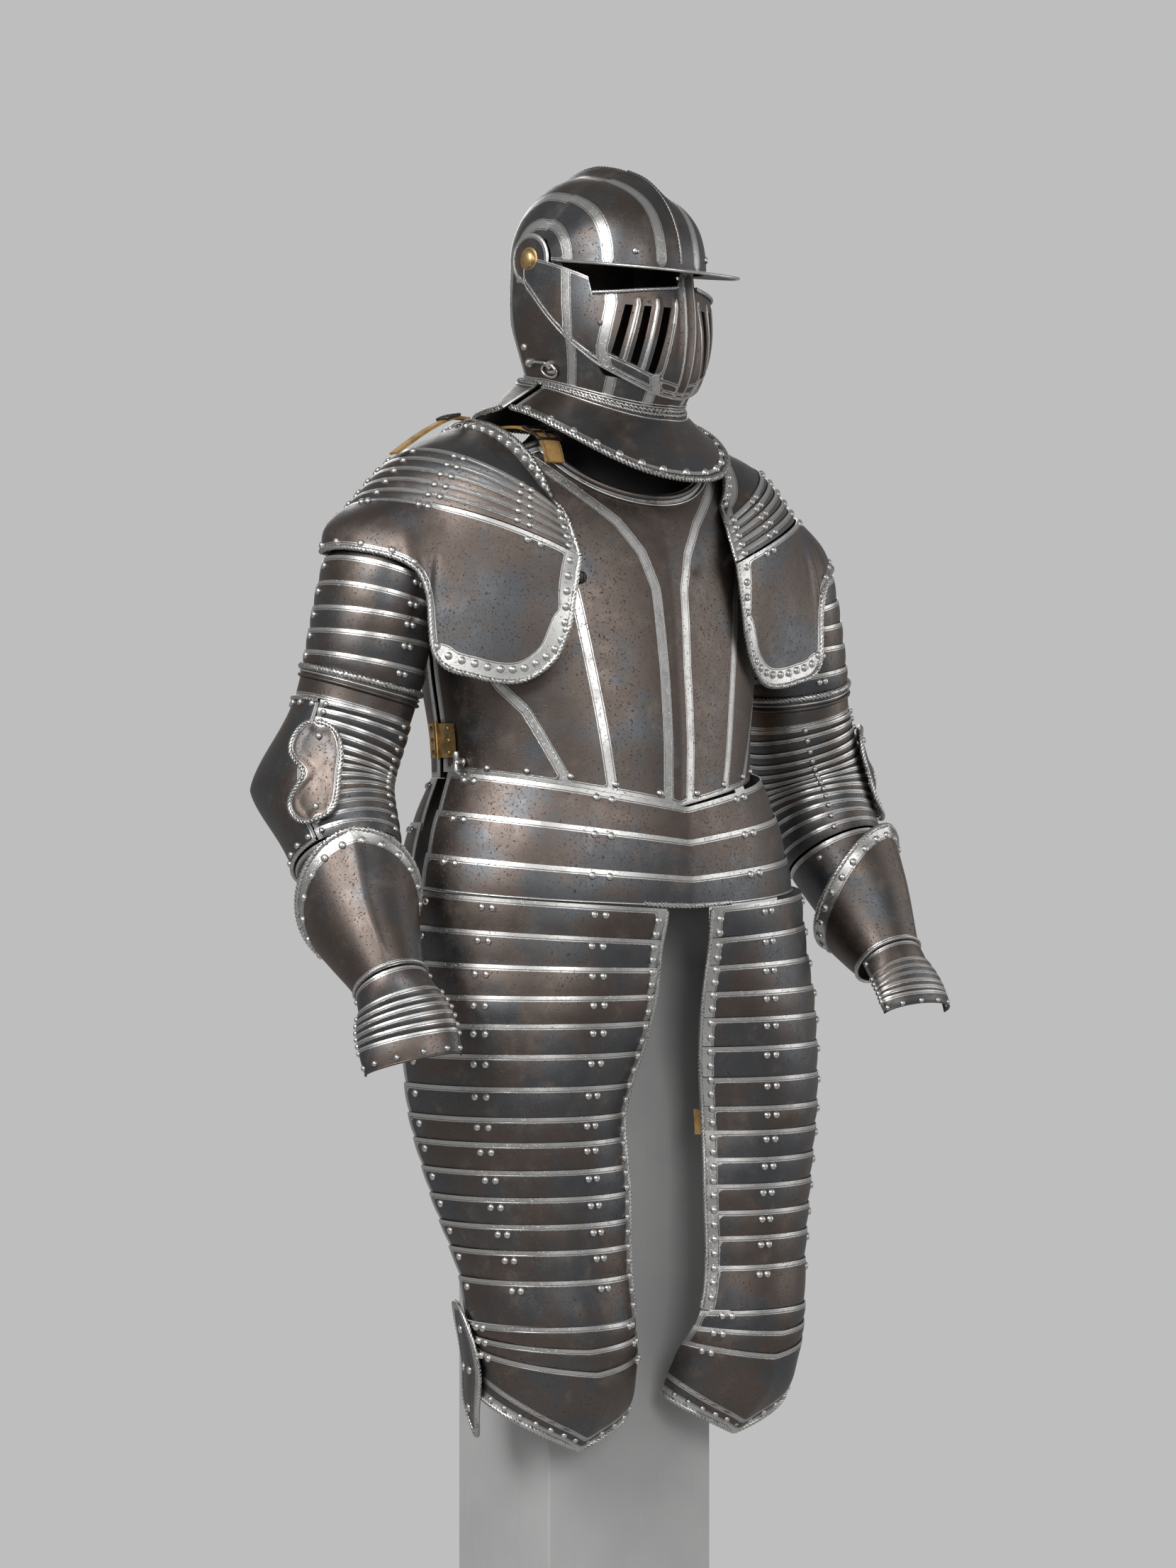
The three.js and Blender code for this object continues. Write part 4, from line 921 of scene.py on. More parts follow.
# ---- Helmet: skull with a low roped comb, bevor, visor and brow plate ------------------------
# A close helmet. The bevor is round the chin, the visor over it, and the brow plate with its peak
# over both; visor and brow plate turn on one pivot. Three bright bands run down each side.
PIVOT_X, PIVOT_Y, PIVOT_Z, HEAD_YAW, HELM_HALF_WIDTH = -3.5, -20, 1645, 10, 84
SKULL_RADIUS = {
    "a": [-12, 0, 20, 45, 62, 75, 90, 110, 145, 180, 190],
    "r": [119, 118, 113, 102, 96.5, 94.5, 94, 91, 86, 82, 82],
}
HEAD = {
    "q": [-0.2, 0, 0.15, 0.35, 0.55, 0.75, 0.9, 1],
    "front": [116, 119, 121, 125, 125, 118, 104, 92],
    "half": [84, 84, 85, 86, 84, 78, 73, 70],
    "back": [81, 82, 82, 82, 79, 71, 65, 62],
}
LAYER = {"skull": -4.5, "bevor": 0, "visor": 5.6}
COLLAR_Q = 0.95
HELM_BANDS, HELM_BAND = (-70, -47, -13, 13, 47, 70), 5.8
PEAK = {"reach": 44, "drop": 9}


def helmet(forward, left, up):
    """Points set out from the middle of the pivot axis, the head turned by its yaw."""
    a = np.radians(HEAD_YAW)
    x = PIVOT_X + forward * np.sin(a) + left * np.cos(a)
    return xyz(x, PIVOT_Y - forward * np.cos(a) + left * np.sin(a), PIVOT_Z + up)


def swell(value):
    """A number between -1 and 1 with its size raised to a power under 1, its sign kept."""
    return np.sign(value) * np.abs(value) ** 0.85


def dome_point(b, a, layer):
    """Top of the head: a from 0 in front through 90 on top to 180 behind, b across from ear to ear,
    with the comb as a narrow raised line down the middle."""
    b, a = both(b, a)
    comb = 10 * np.exp(-((b / 6) ** 2)) * smooth((a - 14) / 40)
    reach = (sample(SKULL_RADIUS, "a", a)["r"] + layer) * swell(np.cos(np.radians(b))) + comb
    left = (HELM_HALF_WIDTH + layer) * swell(np.sin(np.radians(b)))
    return helmet(reach * np.cos(np.radians(a)), left, reach * np.sin(np.radians(a)))


def head_point(turn, q, layer):
    """Below the pivots: a rounded section at each level, with a keel in front. turn is 0 at the
    face and 180 at the nape, q runs from the pivot level down to the collar."""
    turn, q = both(turn, q)
    s = sample(HEAD, "q", q)
    c = np.cos(np.radians(turn))
    length = np.where(c > 0, s["front"], s["back"]) + layer
    keel = 5 * np.maximum(0, 1 - np.abs(turn) / 26) ** 2
    drop = 128 + 32 * np.maximum(0, c) - 15 * np.maximum(0, -c)
    left = (s["half"] + layer) * swell(np.sin(np.radians(turn)))
    return helmet(length * swell(c) + keel, left, -q * drop)


def skull_at(b, r):
    """Over the dome to r 1, then down the nape to the collar."""
    b, r = both(b, r)
    dome = dome_point(b, mix(50, 180, np.minimum(r, 1)), LAYER["skull"])
    nape = head_point(180 - b, (np.maximum(r, 1) - 1) * COLLAR_Q, LAYER["skull"])
    return np.where((r <= 1)[..., None], dome, nape)


over = (-79, 79, 0, 1.99)
fine = np.linspace(-14, 14, 35)
ACROSS = np.concatenate([np.linspace(-79, -15, 40), fine, np.linspace(15, 79, 40)])
down = np.linspace(0, 1.99, 92)
*_, points, normal = sheet(skull_at, over, ACROSS, down)
paths = [skull_at(b + 0 * down, down) for b in HELM_BANDS]
band = painted(5 - along(points, 0, True), points, paths, HELM_BAND)
parts = [
    plate(points, normal, 1.6, 0.0, band=band),
    trim(skull_at, over, 0.0, np.linspace(0.10, 1.25, 300), -0.4, 2.0, 0.22, 12, 1.3),
    studs(skull_at, over, [-74, -74, -74, 74, 74, 74], [1.3, 1.55, 1.8] * 2, 0.3, radius=2.6),
]
build("helmet_skull", parts)


def bevor_top(turn):
    """Upper edge: low under the visor in front, clear of its slots, and up to the pivots."""
    return mix(0.80, -0.12, smooth((np.abs(turn) - 50) / 34))


def bevor_at(turn, r):
    """Bevor, r from its upper edge to the collar."""
    return head_point(turn, mix(bevor_top(turn), COLLAR_Q - 0.006, r), LAYER["bevor"])


over = (-112, 112, 0, 1)
*_, points, normal = sheet(bevor_at, over, np.linspace(-112, 112, 120), np.linspace(0, 1, 48))
band = np.maximum(2 - along(points, 0, True), 5 - inward(points, 1))
paths = [head_point(a, np.linspace(0.3, 0.95, 30), 0) for a in (-71, -46, -16, 16, 46, 71)]
band = painted(band, points, paths, 5.6)
parts = [plate(points, normal, 1.6, 0.0, band=band)]
collar_turn = np.linspace(-112, 112, 200)
for q, size, lobes in ((0.948, 2.0, 0.2), (0.930, 0.9, 0), (0.915, 0.8, 0)):
    parts += [tube(head_point(collar_turn, q, 0.8), size, lobes, 14, 2.0)]
parts += [studs(bevor_at, over, [-100, -100, 100, 100], [0.25, 0.75] * 2, 0.4, radius=3.0)]
# The hook that holds the bevor shut, and its turning eye.
hook = head_point(np.array([-96.0, -93, -90, -86, -82, -80, -81, -84]),
                  np.array([0.80, 0.80, 0.79, 0.79, 0.80, 0.825, 0.85, 0.855]), 4.0)
parts += [tube(hook, 1.7, band=3.4, gap=1.5)]
turn = np.linspace(0, 6.28, 30)
eye = head_point(-84 + 4.2 * np.cos(turn), 0.845 + 0.045 * np.sin(turn), 2.4)
parts += [tube(eye, 1.3, band=3.4, gap=1.2)]
seat, out = skin(partial(head_point, layer=0.8), np.array([-97.0, -84]), 0.80, over)
parts += [rivets(seat, out, 3.6, 4.0)]
build("helmet_bevor", parts)


SLOT_TOP, SLOT_LOW = 0.15, 0.70
VISOR_EDGE = {
    "turn": [0, 8, 21, 40, 55, 64, 73, 82, 90, 95],
    "low": [0.88, 0.875, 0.85, 0.80, 0.745, 0.68, 0.585, 0.44, 0.25, 0.10],
}


def visor_at(turn, r):
    """Visor, r from its upper to its lower edge. In front the upper edge is the sight's lower one,
    and behind a notch it rises to the pivot. From the slots' top to their foot the lines lean, and
    so do the slots cut along them."""
    turn, r = both(turn, r)
    away = np.abs(turn)
    low = sample(VISOR_EDGE, "turn", away)["low"]
    sight_edge, side_edge = mix(0.185, 0.262, away / 57), mix(0.155, -0.03, (away - 59) / 34)
    sight_edge = mix(0.10, sight_edge, np.clip((away - 3.6) / 1.4, 0, 1))
    top = mix(sight_edge, side_edge, np.clip((away - 57) / 1.6, 0, 1))
    slot_end = 0.80 - 0.0033 * away
    down = (r - SLOT_TOP) / (SLOT_LOW - SLOT_TOP)
    slots = np.where(r < SLOT_TOP, mix(top, 0.335, r / SLOT_TOP), mix(0.335, slot_end, down))
    slots = np.where(r < SLOT_LOW, slots, mix(slot_end, low, (r - SLOT_LOW) / (1 - SLOT_LOW)))
    q = mix(slots, mix(top, low, r), smooth((away - 47) / 9))
    lean = 4.4 * smooth((away - 5) / 8) * smooth((56 - away) / 10)
    leaned = away + lean * (2 * np.clip(down, 0, 1) - 1) * smooth((1 - r) / 0.28)
    return head_point(np.where(turn < 0, -1, 1) * leaned, q, LAYER["visor"])


SLOTS = ((14.7, 19.3), (26.7, 31.3), (38.2, 42.8))
half = np.sort(np.concatenate([
    [0, 1.2, 2.4, 3.6, 5, 7, 9, 11, 13, 57, 57.8, 58.6, 59.4],
    *[np.linspace(a, b, 7) for a, b in SLOTS],
    np.linspace(21, 25, 4), np.linspace(33, 36.8, 4), np.linspace(44.5, 56, 10),
    np.linspace(61, 93, 26),
]))
columns = np.concatenate([-half[::-1], half[1:]])
above, beside = np.linspace(0, SLOT_TOP, 6), np.linspace(SLOT_TOP, SLOT_LOW, 26)
rows = np.concatenate([above[:-1], beside[:-1], np.linspace(SLOT_LOW, 1, 15)])
over = (-90, 90, 0, 1)
c, r, points, normal = sheet(visor_at, over, columns, rows)
mid_c = np.abs(columns[:-1] + columns[1:]) / 2
mid_r = (rows[:-1] + rows[1:]) / 2
cut = sum((mid_c > a) & (mid_c < b) for a, b in SLOTS) > 0
cells = ~(((mid_r > SLOT_TOP) & (mid_r < SLOT_LOW))[:, None] & cut)
band = np.maximum(3.4 - along(points, 0, True), 1.5 - np.abs(along(points, 0, True) - 6.6))
band = np.maximum(band, np.where(np.abs(c) > 57, 3.2, 2.4) - along(points, 0))
band = np.maximum(band, 3 - inward(points, 1))
for side in (-1, 1):
    for a, top, low, wide in ((49.5, 0.08, 1, 6.2), (34.7, 0.1, 0.7, 2.0), (23, 0.1, 0.7, 2.0),
                              (10.8, 0.1, 0.7, 1.8), (14, 0.76, 1, 5.6)):
        band = painted(band, points, [visor_at(side * a, np.linspace(top, low, 50))], wide)
    rear = head_point(side * 71, np.linspace(0.0, 0.7, 50), LAYER["visor"])
    band = painted(band, points, [rear], 5.6)
    band = painted(band, points, [visor_at(side * np.linspace(3, 48, 60), 0.745)], 1.7)
band = np.maximum(band, 3.4 - np.abs(np.abs(c) - 2.6) * 2.1 - 2.0)
ribs = sum(np.exp(-(((np.abs(c) - a) / 1.5) ** 2)) for a in (23, 34.7, 10.8))
lift = 1.5 * ribs * smooth((r - 0.06) / 0.06) * smooth((0.76 - r) / 0.06)
lift = lift + 1.8 * smooth((4.4 - np.abs(c)) / 1.2)
parts = [plate(points, normal, 1.6, lift, cells=cells, band=band)]
for side in (-1, 1):
    sight = side * np.linspace(5.2, 56.5, 110)
    parts += [trim(visor_at, over, sight, 0.012, 1.2, 1.9, 0.2, 10, 2.6)]
parts += [studs(visor_at, over, [-53, 53], [0.42, 0.42], 0.2, radius=2.2, height=0.5, band=-9)]
build("helmet_visor", parts, body="visor")


def brow_at(b, r):
    """Brow plate over the forehead for r over 0, and its peak, level and pointed, for r under 0."""
    b, r = both(b, r)
    over_brow = dome_point(b, mix(-6, 62, np.maximum(r, 0)), LAYER["visor"])
    out = np.maximum(-r, 0)
    reach = 2 + PEAK["reach"] * np.maximum(0, np.cos(np.radians(b * 1.22))) ** 0.8
    a, aside = np.radians(HEAD_YAW), 0.35 * np.sin(np.radians(b))
    x = out * reach * (np.sin(a) + aside * np.cos(a))
    y = out * reach * (-np.cos(a) + aside * np.sin(a))
    return over_brow + xyz(x, y, -out * PEAK["drop"] * reach / PEAK["reach"])


over = (-79, 79, -1, 1)
rows = np.concatenate([np.linspace(-1, -0.02, 14), np.linspace(0.04, 1, 28)])
_, r, points, normal = sheet(brow_at, over, ACROSS, rows)
down = np.linspace(0.04, 1, 60)
paths = [brow_at(b + 0 * down, down) for b in HELM_BANDS]
band = painted(4.5 - along(points, 0), points, paths, HELM_BAND)
# The rear edge is drawn in until it lies on the skull.
settle = -8.2 * smooth((r - 0.30) / 0.70)
parts = [plate(points, normal, 1.3, settle, band=band)]
ridge = np.linspace(0.03, 1, 150)
line = edge(brow_at, over, 0.0, ridge, -8.2 * smooth((ridge - 0.30) / 0.70) - 0.4)
parts += [
    tube(line, 1.8, 0.22, 12, 1.3),
    trim(brow_at, over, np.linspace(-76, 76, 220), -0.99, -0.4, 1.6, band=3.4),
    studs(brow_at, over, [-30, 30], [0.1, 0.1], 0.2, radius=2.8),
]
disc = [[0.05, 86.2], [25.5, 86.2], [26, 87.4], [25.4, 88.5], [23, 89], [22, 88.6], [14, 88.7],
        [0.05, 88.7]]
middle = helmet(0.0, 0.0, 0.0)
for side in (-1, 1):
    out = helmet(0.0, float(side), 0.0) - middle
    parts += [turned(middle, out, disc, 48, [-9, -9, 3.4, 3.4, 3.4, 1.3, -9, -9])]
build("helmet_brow_plate", parts, body="visor")

# ---- Gorget: two flared collar plates with turned edges --------------------------------------
# Front and back plates under the helmet, dark, with a row of domed rivets between a bright line
# and the roped rim.


def gorget_at(turn, r):
    """From the collar outwards and down to the rim, in straight lines whose start is steeper."""
    turn, r = both(turn, r)
    c = np.cos(np.radians(turn))
    start = head_point(turn, COLLAR_Q + 0.006, 0)
    low = np.where(c > 0, mix(-150, -222, np.abs(c) ** 1.3), mix(-150, -160, np.abs(c)))
    end = helmet(np.where(c > 0, 134, 100) * swell(c), 122 * swell(np.sin(np.radians(turn))), low)
    return mix(start, end, (np.maximum(r, 0) ** 0.85)[..., None])


def gorget_back_at(turn, r):
    """The same, from the nape."""
    return gorget_at(180 - turn, r)


for name, surface, count in (("gorget_front", gorget_at, 15), ("gorget_back", gorget_back_at, 11)):
    over = (-88, 88, 0.01, 1)
    _, r, points, normal = sheet(surface, over, np.linspace(-88, 88, 110), np.linspace(0.01, 1, 34))
    low = along(points, 0, True)
    band = np.maximum(1.8 - np.abs(low - 9), 2.5 - along(points, 0))
    band = np.maximum(band, 5 - inward(points, 1))
    lift = 1.4 * smooth(1 - r / 0.1) + 2.4 * smooth(1 - low / 4)
    parts = [plate(points, normal, 1.6, lift, band=band)]
    rim = np.linspace(-88, 88, 200)
    parts += [
        trim(surface, over, rim, 0.985, 1.4, 2.8, 0.2, 13, band=2.0),
        trim(surface, over, rim, 0.03, 1.2, 1.8, 0.22, 11, band=2.0),
        trim(surface, over, rim, 0.08, 0.5, 0.9, band=2.0, gap=2.0),
        studs(surface, over, np.linspace(-82, 82, count), 0.86, 0.4, radius=3.3, height=2.4),
    ]
    build(name, parts)

# ---- Pivot rivets and side hinges: brass -----------------------------------------------------
# Domed brass pivot heads, turned with their washers and riveted through visor and brow plate. A
# brass hinge of a bent leaf and a barrel is riveted on at each side of the waist.


def worn_metal(name, clean, dirty, pit, rough):
    """Metal with a clean colour that goes dirty in soft patches, dark pits and fine scratches."""
    material, tree, shader, place = start_material(name, 1.0)
    patch, speck = noise(tree, place, 60, 5, 0.65), noise(tree, place, 700, 3, 0.7)
    colour = tint(tree, ramp(tree, patch, 0.42, 0.66), clean, dirty)
    colour = tint(tree, ramp(tree, speck, 0.60, 0.74), colour, pit)
    dull = ramp(tree, patch, 0.3, 0.75, rough, rough + 0.2)
    dress(tree, shader, colour, dull, speck, 0.25, 0.0005)
    return material


BRASS = worn_metal("worn_brass", (0.62, 0.43, 0.20), (0.34, 0.22, 0.10), (0.12, 0.075, 0.035), 0.32)
for side, label in SIDES:
    out = helmet(0.0, float(side), 0.0) - middle
    washer = [[0.05, 88.8], [11.5, 88.8], [12, 89.4], [11.2, 90], [9.6, 90.2], [9.4, 91],
              [8.4, 92.6], [6, 94], [3, 94.7], [0.05, 94.9]]
    build(f"pivot_rivet_{label}", [turned(middle, out, washer, 32)], BRASS, "visor")

    def hinge_at(turn, z, side=side):
        """Side of the torso at the waist."""
        return body_point(TORSO, side * turn, z)

    over = (80, 100, 1150, 1186)
    columns, rows = np.linspace(80.5, 99.5, 24), np.linspace(1151, 1185, 16)
    *_, points, normal = sheet(hinge_at, over, columns, rows)
    parts = [plate(points, normal, 1.2, 3.4)]
    barrel = body_point(TORSO, side * 90.0, np.linspace(1149, 1187, 12)) + [side * 4.6, 0, 0]
    parts += [tube(barrel, 2.2, band=3.4, gap=2)]
    spots = [[84], [96]], [[1156, 1168, 1180]]
    parts += [studs(hinge_at, over, *spots, 3.6, radius=2.2, height=1.4)]
    build(f"side_hinge_{label}", parts, BRASS)

# ---- Straps and fittings: leather, buckles, wing nuts, lance-rest screw ----------------------
# Ochre leather with stitched edges: one pair joins backplate to breastplate beside the neck, the
# other hangs the pauldrons. Buckles and screw are dark iron, the wing nuts steel.
SHOULDER_STRAP = {
    "r": [0, 1, 2, 3, 4, 5],
    "y": [-88, -76, -40, 20, 80, 111],
    "z": [1440, 1463, 1477, 1480, 1480, 1446],
}
PAULDRON_STRAP = {
    "r": [0, 1, 2, 3, 4],
    "x": [130, 150, 176, 200, 216],
    "z": [1489, 1488, 1476, 1461, 1450],
}


def leather():
    """Ochre leather: creased and darker in patches, and dark where the band attribute is a seam."""
    material, tree, shader, place = start_material("ochre_leather", 0.0)
    patch, crease = noise(tree, place, 50, 5, 0.65), noise(tree, place, 380, 4, 0.7)
    colour = tint(tree, ramp(tree, patch, 0.38, 0.68), (0.42, 0.25, 0.085), (0.24, 0.135, 0.048))
    colour = tint(tree, ramp(tree, crease, 0.56, 0.72), colour, (0.10, 0.055, 0.022))
    seam = ramp(tree, read_attribute(tree, "band"), -0.6, 0.6)
    colour = tint(tree, seam, colour, (0.14, 0.08, 0.035))
    dress(tree, shader, colour, ramp(tree, patch, 0.3, 0.8, 0.55, 0.8), crease, 0.5, 0.0008)
    return material


LEATHER = leather()
DARK_IRON = worn_metal(
    "dark_iron", (0.11, 0.10, 0.095), (0.07, 0.055, 0.045), (0.03, 0.022, 0.018), 0.42
)


for side, label in SIDES:

    def strap_at(c, r, side=side):
        """Shoulder strap, r from front to back."""
        s = sample(SHOULDER_STRAP, "r", r)
        return xyz(side * (96 + 11 * c), s["y"], s["z"])

    def tie_at(c, r, side=side):
        """Pauldron strap, r from the neck outwards."""
        s = sample(PAULDRON_STRAP, "r", r)
        return xyz(side * s["x"], 18 + 7 * c, s["z"])

    for name, surface, last in (("shoulder_strap", strap_at, 5), ("pauldron_strap", tie_at, 4)):
        over = (-1, 1, 0, last)
        columns, rows = np.linspace(-1, 1, 13), np.linspace(0, last, 60)
        c, _, points, normal = sheet(surface, over, columns, rows)
        normal = normal * np.sign(normal[30, 6, 2])
        puff = 0.5 * np.cos(c * np.pi / 2)
        seam = np.where(np.abs(np.abs(c) - 0.8) < 0.09, 1.0, -3.0)
        parts = [plate(points, normal, 2.6, 1.2 + puff, band=seam)]
        build(f"{name}_{label}", parts, LEATHER)
        up = np.array([0, 0, 2.6])
        a, b = last * 0.18, last * 0.34
        loop = path_on(surface, over, 0, (-1.25, 1.25, a, a, 10), (1.25, 1.25, a, b, 10),
                       (1.25, -1.25, b, b, 10), (-1.25, -1.25, b, a, 10))
        parts = [tube(loop + up, 1.7, band=0, closed=True, gap=1.6)]
        bar = surface(np.linspace(-1.2, 1.2, 8), last * 0.27 * np.ones(8)) + up
        tongue = surface(np.zeros(8), np.linspace(last * 0.18, last * 0.28, 8)) + up * 1.3
        parts += [tube(bar, 1.3, band=0), tube(tongue, 1.1, band=0)]
        build(f"{name}_buckle_{label}", parts, DARK_IRON, node=False)

    # Wing nuts at the sides of the waist.
    seat = body_point(TORSO, side * 78.0, 1146.0)
    out = unit(np.array([side * 0.96, -0.28, 0]))
    stem = [[0.05, 1.6], [5.2, 1.6], [5.2, 3.2], [3.6, 3.6], [3.6, 10], [2.6, 12], [0.05, 12.8]]
    parts = [turned(seat, out, stem, 16)]
    for sign in (-1, 1):
        leaf = [[0.05, 0], [2.2, 0.2], [2.4, 3], [3.4, 7], [2.6, 10.4], [0.05, 11.6]]
        parts += [turned(seat + out * 10.5, np.array([0, 0, float(sign)]), leaf, 12)]
    build(f"wing_nut_{label}", parts)

# A short leather end that shows at the inner edge of the left tasset.
c, z = np.meshgrid(np.linspace(-0.035, 0.02, 8), np.linspace(802, 778, 12))
points, normal = skin(lambda c, z: leg_point(1, c, z), c, z, (0, 1, 1016, 606))
tab = plate(points, normal, 2.2, -1.0 - 2.0 * (c < 0), band=-3.0)
build("tasset_leather_left", [tab], LEATHER, node=False)

# Screw for a lance rest on the right breast: a turned head with a raised lip each side of its slot.
seat = body_point(TORSO, -29.0, 1326.0)
out = unit(np.array([-0.36, -0.933, 0]))
head = [[0.05, 0.6], [5.6, 0.6], [6, 1.4], [6, 4.6], [5.2, 6.2], [3, 6.9], [0.05, 7.0]]
slot_u = unit(np.cross(out, np.array([0, 0, 1.0])))
parts = [turned(seat, out, head, 24)]
for sign in (-1, 1):
    middle, half = seat + out * 6.6 + slot_u * sign * 2.6, np.array([0, 0, 3.4])
    parts += [tube(np.linspace(middle - half, middle + half, 8), 1.2, band=0, gap=1)]
build("lance_rest_screw", parts, DARK_IRON)

# ---- Stand: foot, post and the black form inside the suit ------------------------------------
# A painted wooden foot and square post, and a felt-covered limbless form that carries the plates.
POST_X, POST_Y, POST_TOP, FOOT_SIZE, FOOT_THICK = 197, 162, 1089, 450, 20


def paint():
    """Pale grey paint: faintly mottled, with brush marks up and down and scuffs near the floor."""
    material, tree, shader, place = start_material("pale_grey_paint", 0.0)
    split = tree.nodes.new("ShaderNodeSeparateXYZ")
    tree.links.new(place, split.inputs[0])
    stretch = tree.nodes.new("ShaderNodeMapping")
    tree.links.new(place, stretch.inputs["Vector"])
    stretch.inputs["Scale"].default_value = (1, 1, 0.06)
    brush, mottle = noise(tree, stretch.outputs[0], 260, 4), noise(tree, place, 7, 5)
    colour = tint(tree, ramp(tree, mottle, 0.3, 0.7), (0.44, 0.44, 0.44), (0.50, 0.50, 0.495))
    colour = tint(tree, ramp(tree, brush, 0.56, 0.8, 0.0, 0.35), colour, (0.36, 0.36, 0.36))
    low = ramp(tree, split.outputs[2], 0.03, 0.20, 0.7, 0.0)
    scuff = maths(tree, "MULTIPLY", low, ramp(tree, noise(tree, place, 55, 5), 0.5, 0.62))
    colour = tint(tree, maths(tree, "MULTIPLY", scuff, 0.3), colour, (0.26, 0.25, 0.24))
    dress(tree, shader, colour, ramp(tree, brush, 0.2, 0.8, 0.5, 0.72), brush, 0.15, 0.0004)
    return material


def felt():
    """Black felt: short fibres and faint grey lint."""
    material, tree, shader, place = start_material("black_felt", 0.0)
    fibre, lint = noise(tree, place, 1300, 4, 0.8), noise(tree, place, 90, 5, 0.7)
    colour = tint(tree, fibre, (0.006, 0.006, 0.007), (0.020, 0.019, 0.019))
    colour = tint(tree, ramp(tree, lint, 0.66, 0.78, 0.0, 0.5), colour, (0.05, 0.048, 0.045))
    dress(tree, shader, colour, ramp(tree, fibre, 0.2, 0.8, 0.85, 1.0), fibre, 0.8, 0.0010)
    return material


PAINT, FELT = paint(), felt()


def block(half_x, half_y, low, high, soft):
    """A box with rounded edges: a rectangle with four rounded corners of six points each, carried
    up, and drawn in at both ends by a quarter circle."""
    arc = np.radians(np.linspace(0, 90, 6))
    turn = np.concatenate([arc + k * np.pi / 2 for k in range(4)])
    corner = np.repeat([[1, 1], [-1, 1], [-1, -1], [1, -1]], 6, axis=0)
    corner = corner * [half_x - soft, half_y - soft]
    bend = np.radians(np.linspace(0, 90, 4))
    size = np.concatenate([[0], np.sin(bend), [1, 1, 1], np.cos(bend), [0]])
    middle = np.linspace(low + soft, high - soft, 5)[1:4]
    bottom, top = low + soft * (1 - np.cos(bend)), high - soft * (1 - np.sin(bend))
    z = np.concatenate([[low], bottom, middle, top, [high]])
    around = np.stack([np.cos(turn), np.sin(turn)], -1)
    flat = corner[None] + around[None] * (soft * size)[:, None, None]
    flat[0], flat[-1] = corner * 0.02, corner * 0.02
    points = np.concatenate([flat, np.broadcast_to(z[:, None, None], (*flat.shape[:2], 1))], -1)
    return wrapped(points)


foot = block(FOOT_SIZE / 2, FOOT_SIZE / 2, 0, FOOT_THICK, 2.0)
build("stand_foot", [foot], PAINT)
post = block(POST_X / 2, POST_Y / 2, FOOT_THICK + 0.3, POST_TOP, 2.0)
build("stand_post", [post], PAINT)

FORM = {
    "z": [1089.3, 1130, 1200, 1300, 1370, 1420, 1450, 1480, 1545],
    "half": [155, 158, 164, 174, 170, 140, 92, 58, 54],
    "front": [138, 142, 144, 133, 116, 92, 66, 56, 54],
    "back": [86, 84, 98, 118, 121, 108, 76, 52, 46],
    "y0": [0, 0, 0, 0, 0, 0, 2, -6, -16],
}
z = np.concatenate([[1089.3], np.linspace(1090.3, 1543, 90), [1545]])
draw = np.concatenate([[0.992], np.ones(90), [0.93]])
turn, zz = np.meshgrid(np.linspace(0, 2 * np.pi, 96, endpoint=False), z)
s = sample(FORM, "z", zz)
c = np.cos(turn)
depth = np.where(c > 0, s["front"], s["back"])
points = xyz(s["half"] * draw[:, None] * np.sin(turn), s["y0"] - depth * draw[:, None] * c, zz)
build("torso_form", [wrapped(points)], FELT)

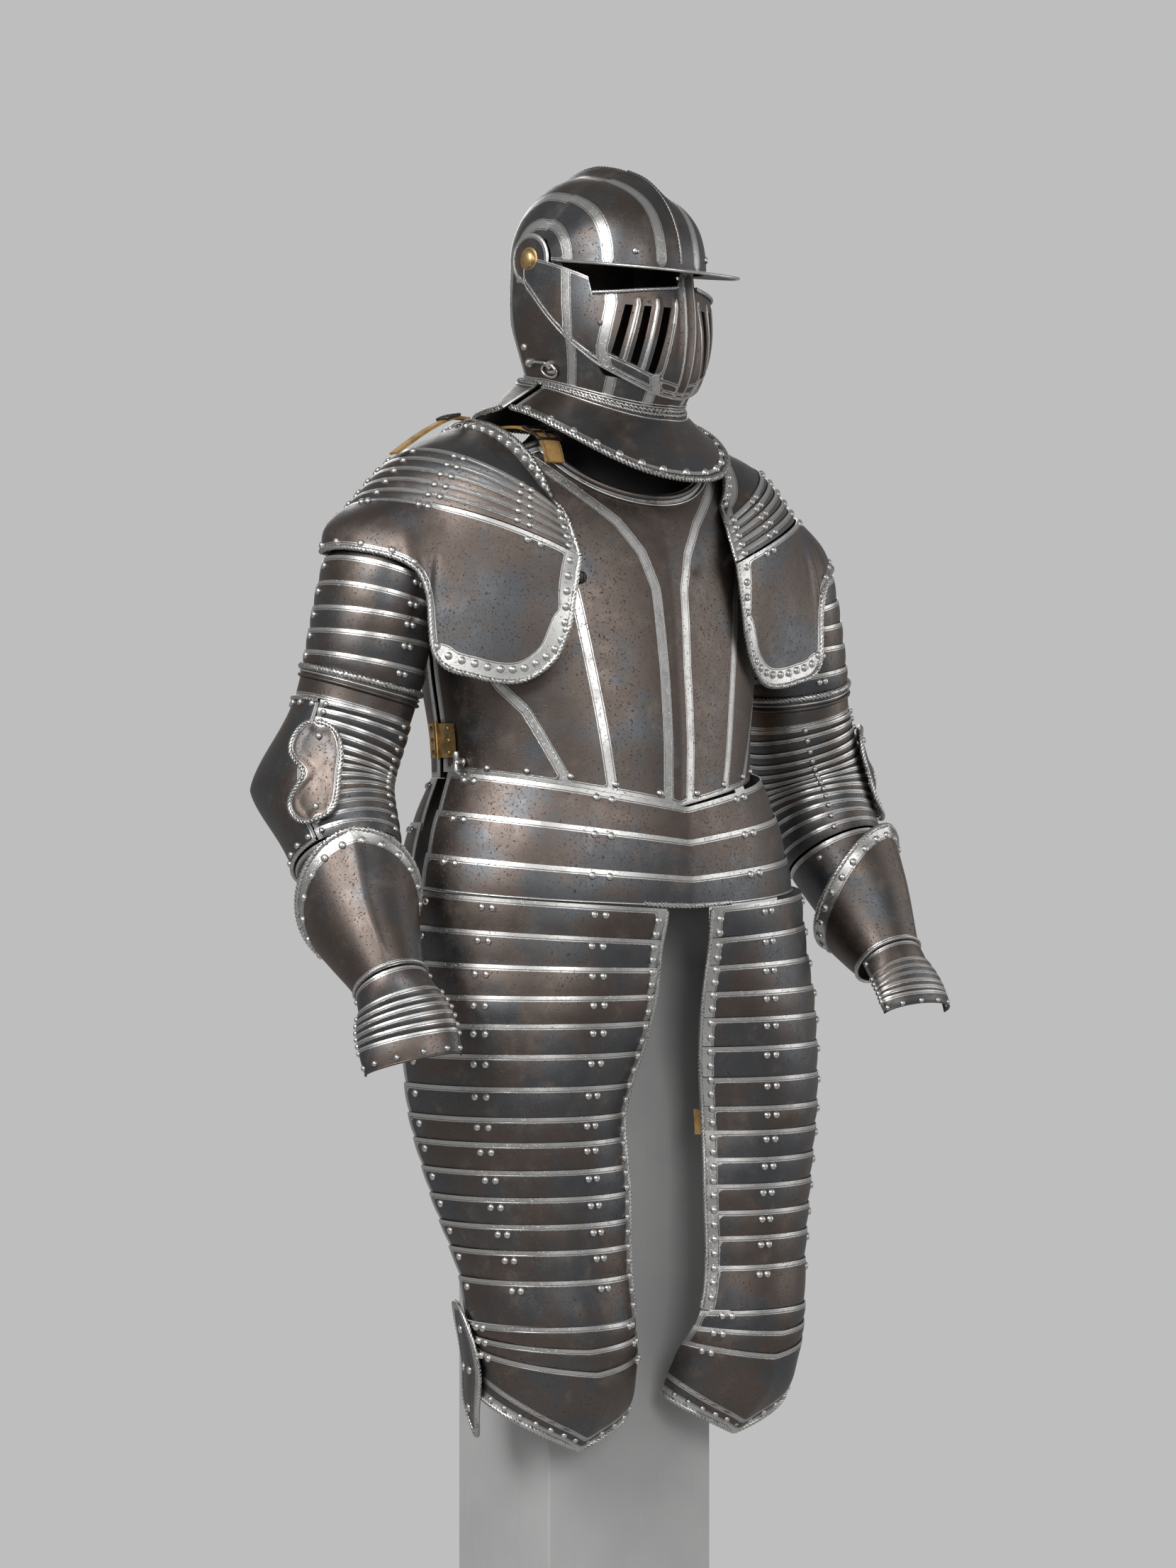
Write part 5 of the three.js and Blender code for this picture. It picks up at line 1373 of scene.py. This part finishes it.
# ---- Floor, light and camera -----------------------------------------------------------------
# A plain pale floor, a soft key light from the upper left in front, a weak fill from the right,
# and a level camera that looks at the suit from its right front.
floor_material, tree, shader, place = start_material("pale_floor", 0.0)
pale = tint(tree, noise(tree, place, 3, 4), (0.50, 0.50, 0.50), (0.54, 0.54, 0.54))
rough = ramp(tree, noise(tree, place, 40, 4), 0, 1, 0.75, 0.95)
dress(tree, shader, pale, rough, noise(tree, place, 300, 3), 0.1, 0.0005)
FLOOR_RADIUS, FLOOR_Z = 1.3, -0.0005
turn = np.linspace(0, 2 * np.pi, 96, endpoint=False)
disc = xyz(FLOOR_RADIUS * np.cos(turn), FLOOR_RADIUS * np.sin(turn), FLOOR_Z)
mesh = bpy.data.meshes.new("floor")
mesh.from_pydata(disc, [], [range(len(turn))])
mesh.materials.append(floor_material)
floor = bpy.data.objects.new("floor", mesh)
bpy.context.scene.collection.objects.link(floor)

world = bpy.data.worlds.new("studio")
bpy.context.scene.world = world
world.use_nodes = True
tree = world.node_tree
background = tree.nodes["Background"]
seen = tree.nodes.new("ShaderNodeLightPath").outputs["Is Camera Ray"]
put(tree, background.inputs["Color"], (0.515, 0.515, 0.515))
put(tree, background.inputs["Strength"], maths(tree, "MULTIPLY_ADD", seen, 0.45, 0.55))


def area_light(name, place, at, size, watts):
    """A square soft light at a place, facing a point."""
    lamp = bpy.data.lights.new(name, "AREA")
    lamp.size, lamp.energy = size, watts
    light = bpy.data.objects.new(name, lamp)
    light.location = place
    aim = np.array(at, float) - place
    tilt = np.arctan2(np.hypot(aim[0], aim[1]), -aim[2])
    light.rotation_euler = (tilt, 0, np.arctan2(-aim[0], aim[1]))
    bpy.context.scene.collection.objects.link(light)


area_light("key", (-3.0, -1.2, 3.0), (0, 0, 1.2), 1.8, 95)
area_light("front", (-0.8, -3.6, 2.2), (0, 0, 1.1), 1.6, 34)
area_light("fill", (3.2, -1.6, 1.6), (0, 0, 1.1), 2.2, 22)
area_light("rim", (1.6, 3.0, 2.6), (0, 0, 1.2), 2.0, 30)

camera = bpy.data.cameras.new("camera")
camera.lens, camera.sensor_width = 90.8, 36
camera.clip_start, camera.clip_end = 0.1, 50
view = bpy.data.objects.new("camera", camera)
view.location = (-2.291, -3.279, 1.125)
view.rotation_euler = (np.pi / 2, 0, np.radians(-35))
bpy.context.scene.collection.objects.link(view)
bpy.context.scene.camera = view
bpy.context.scene.view_settings.view_transform = "Standard"
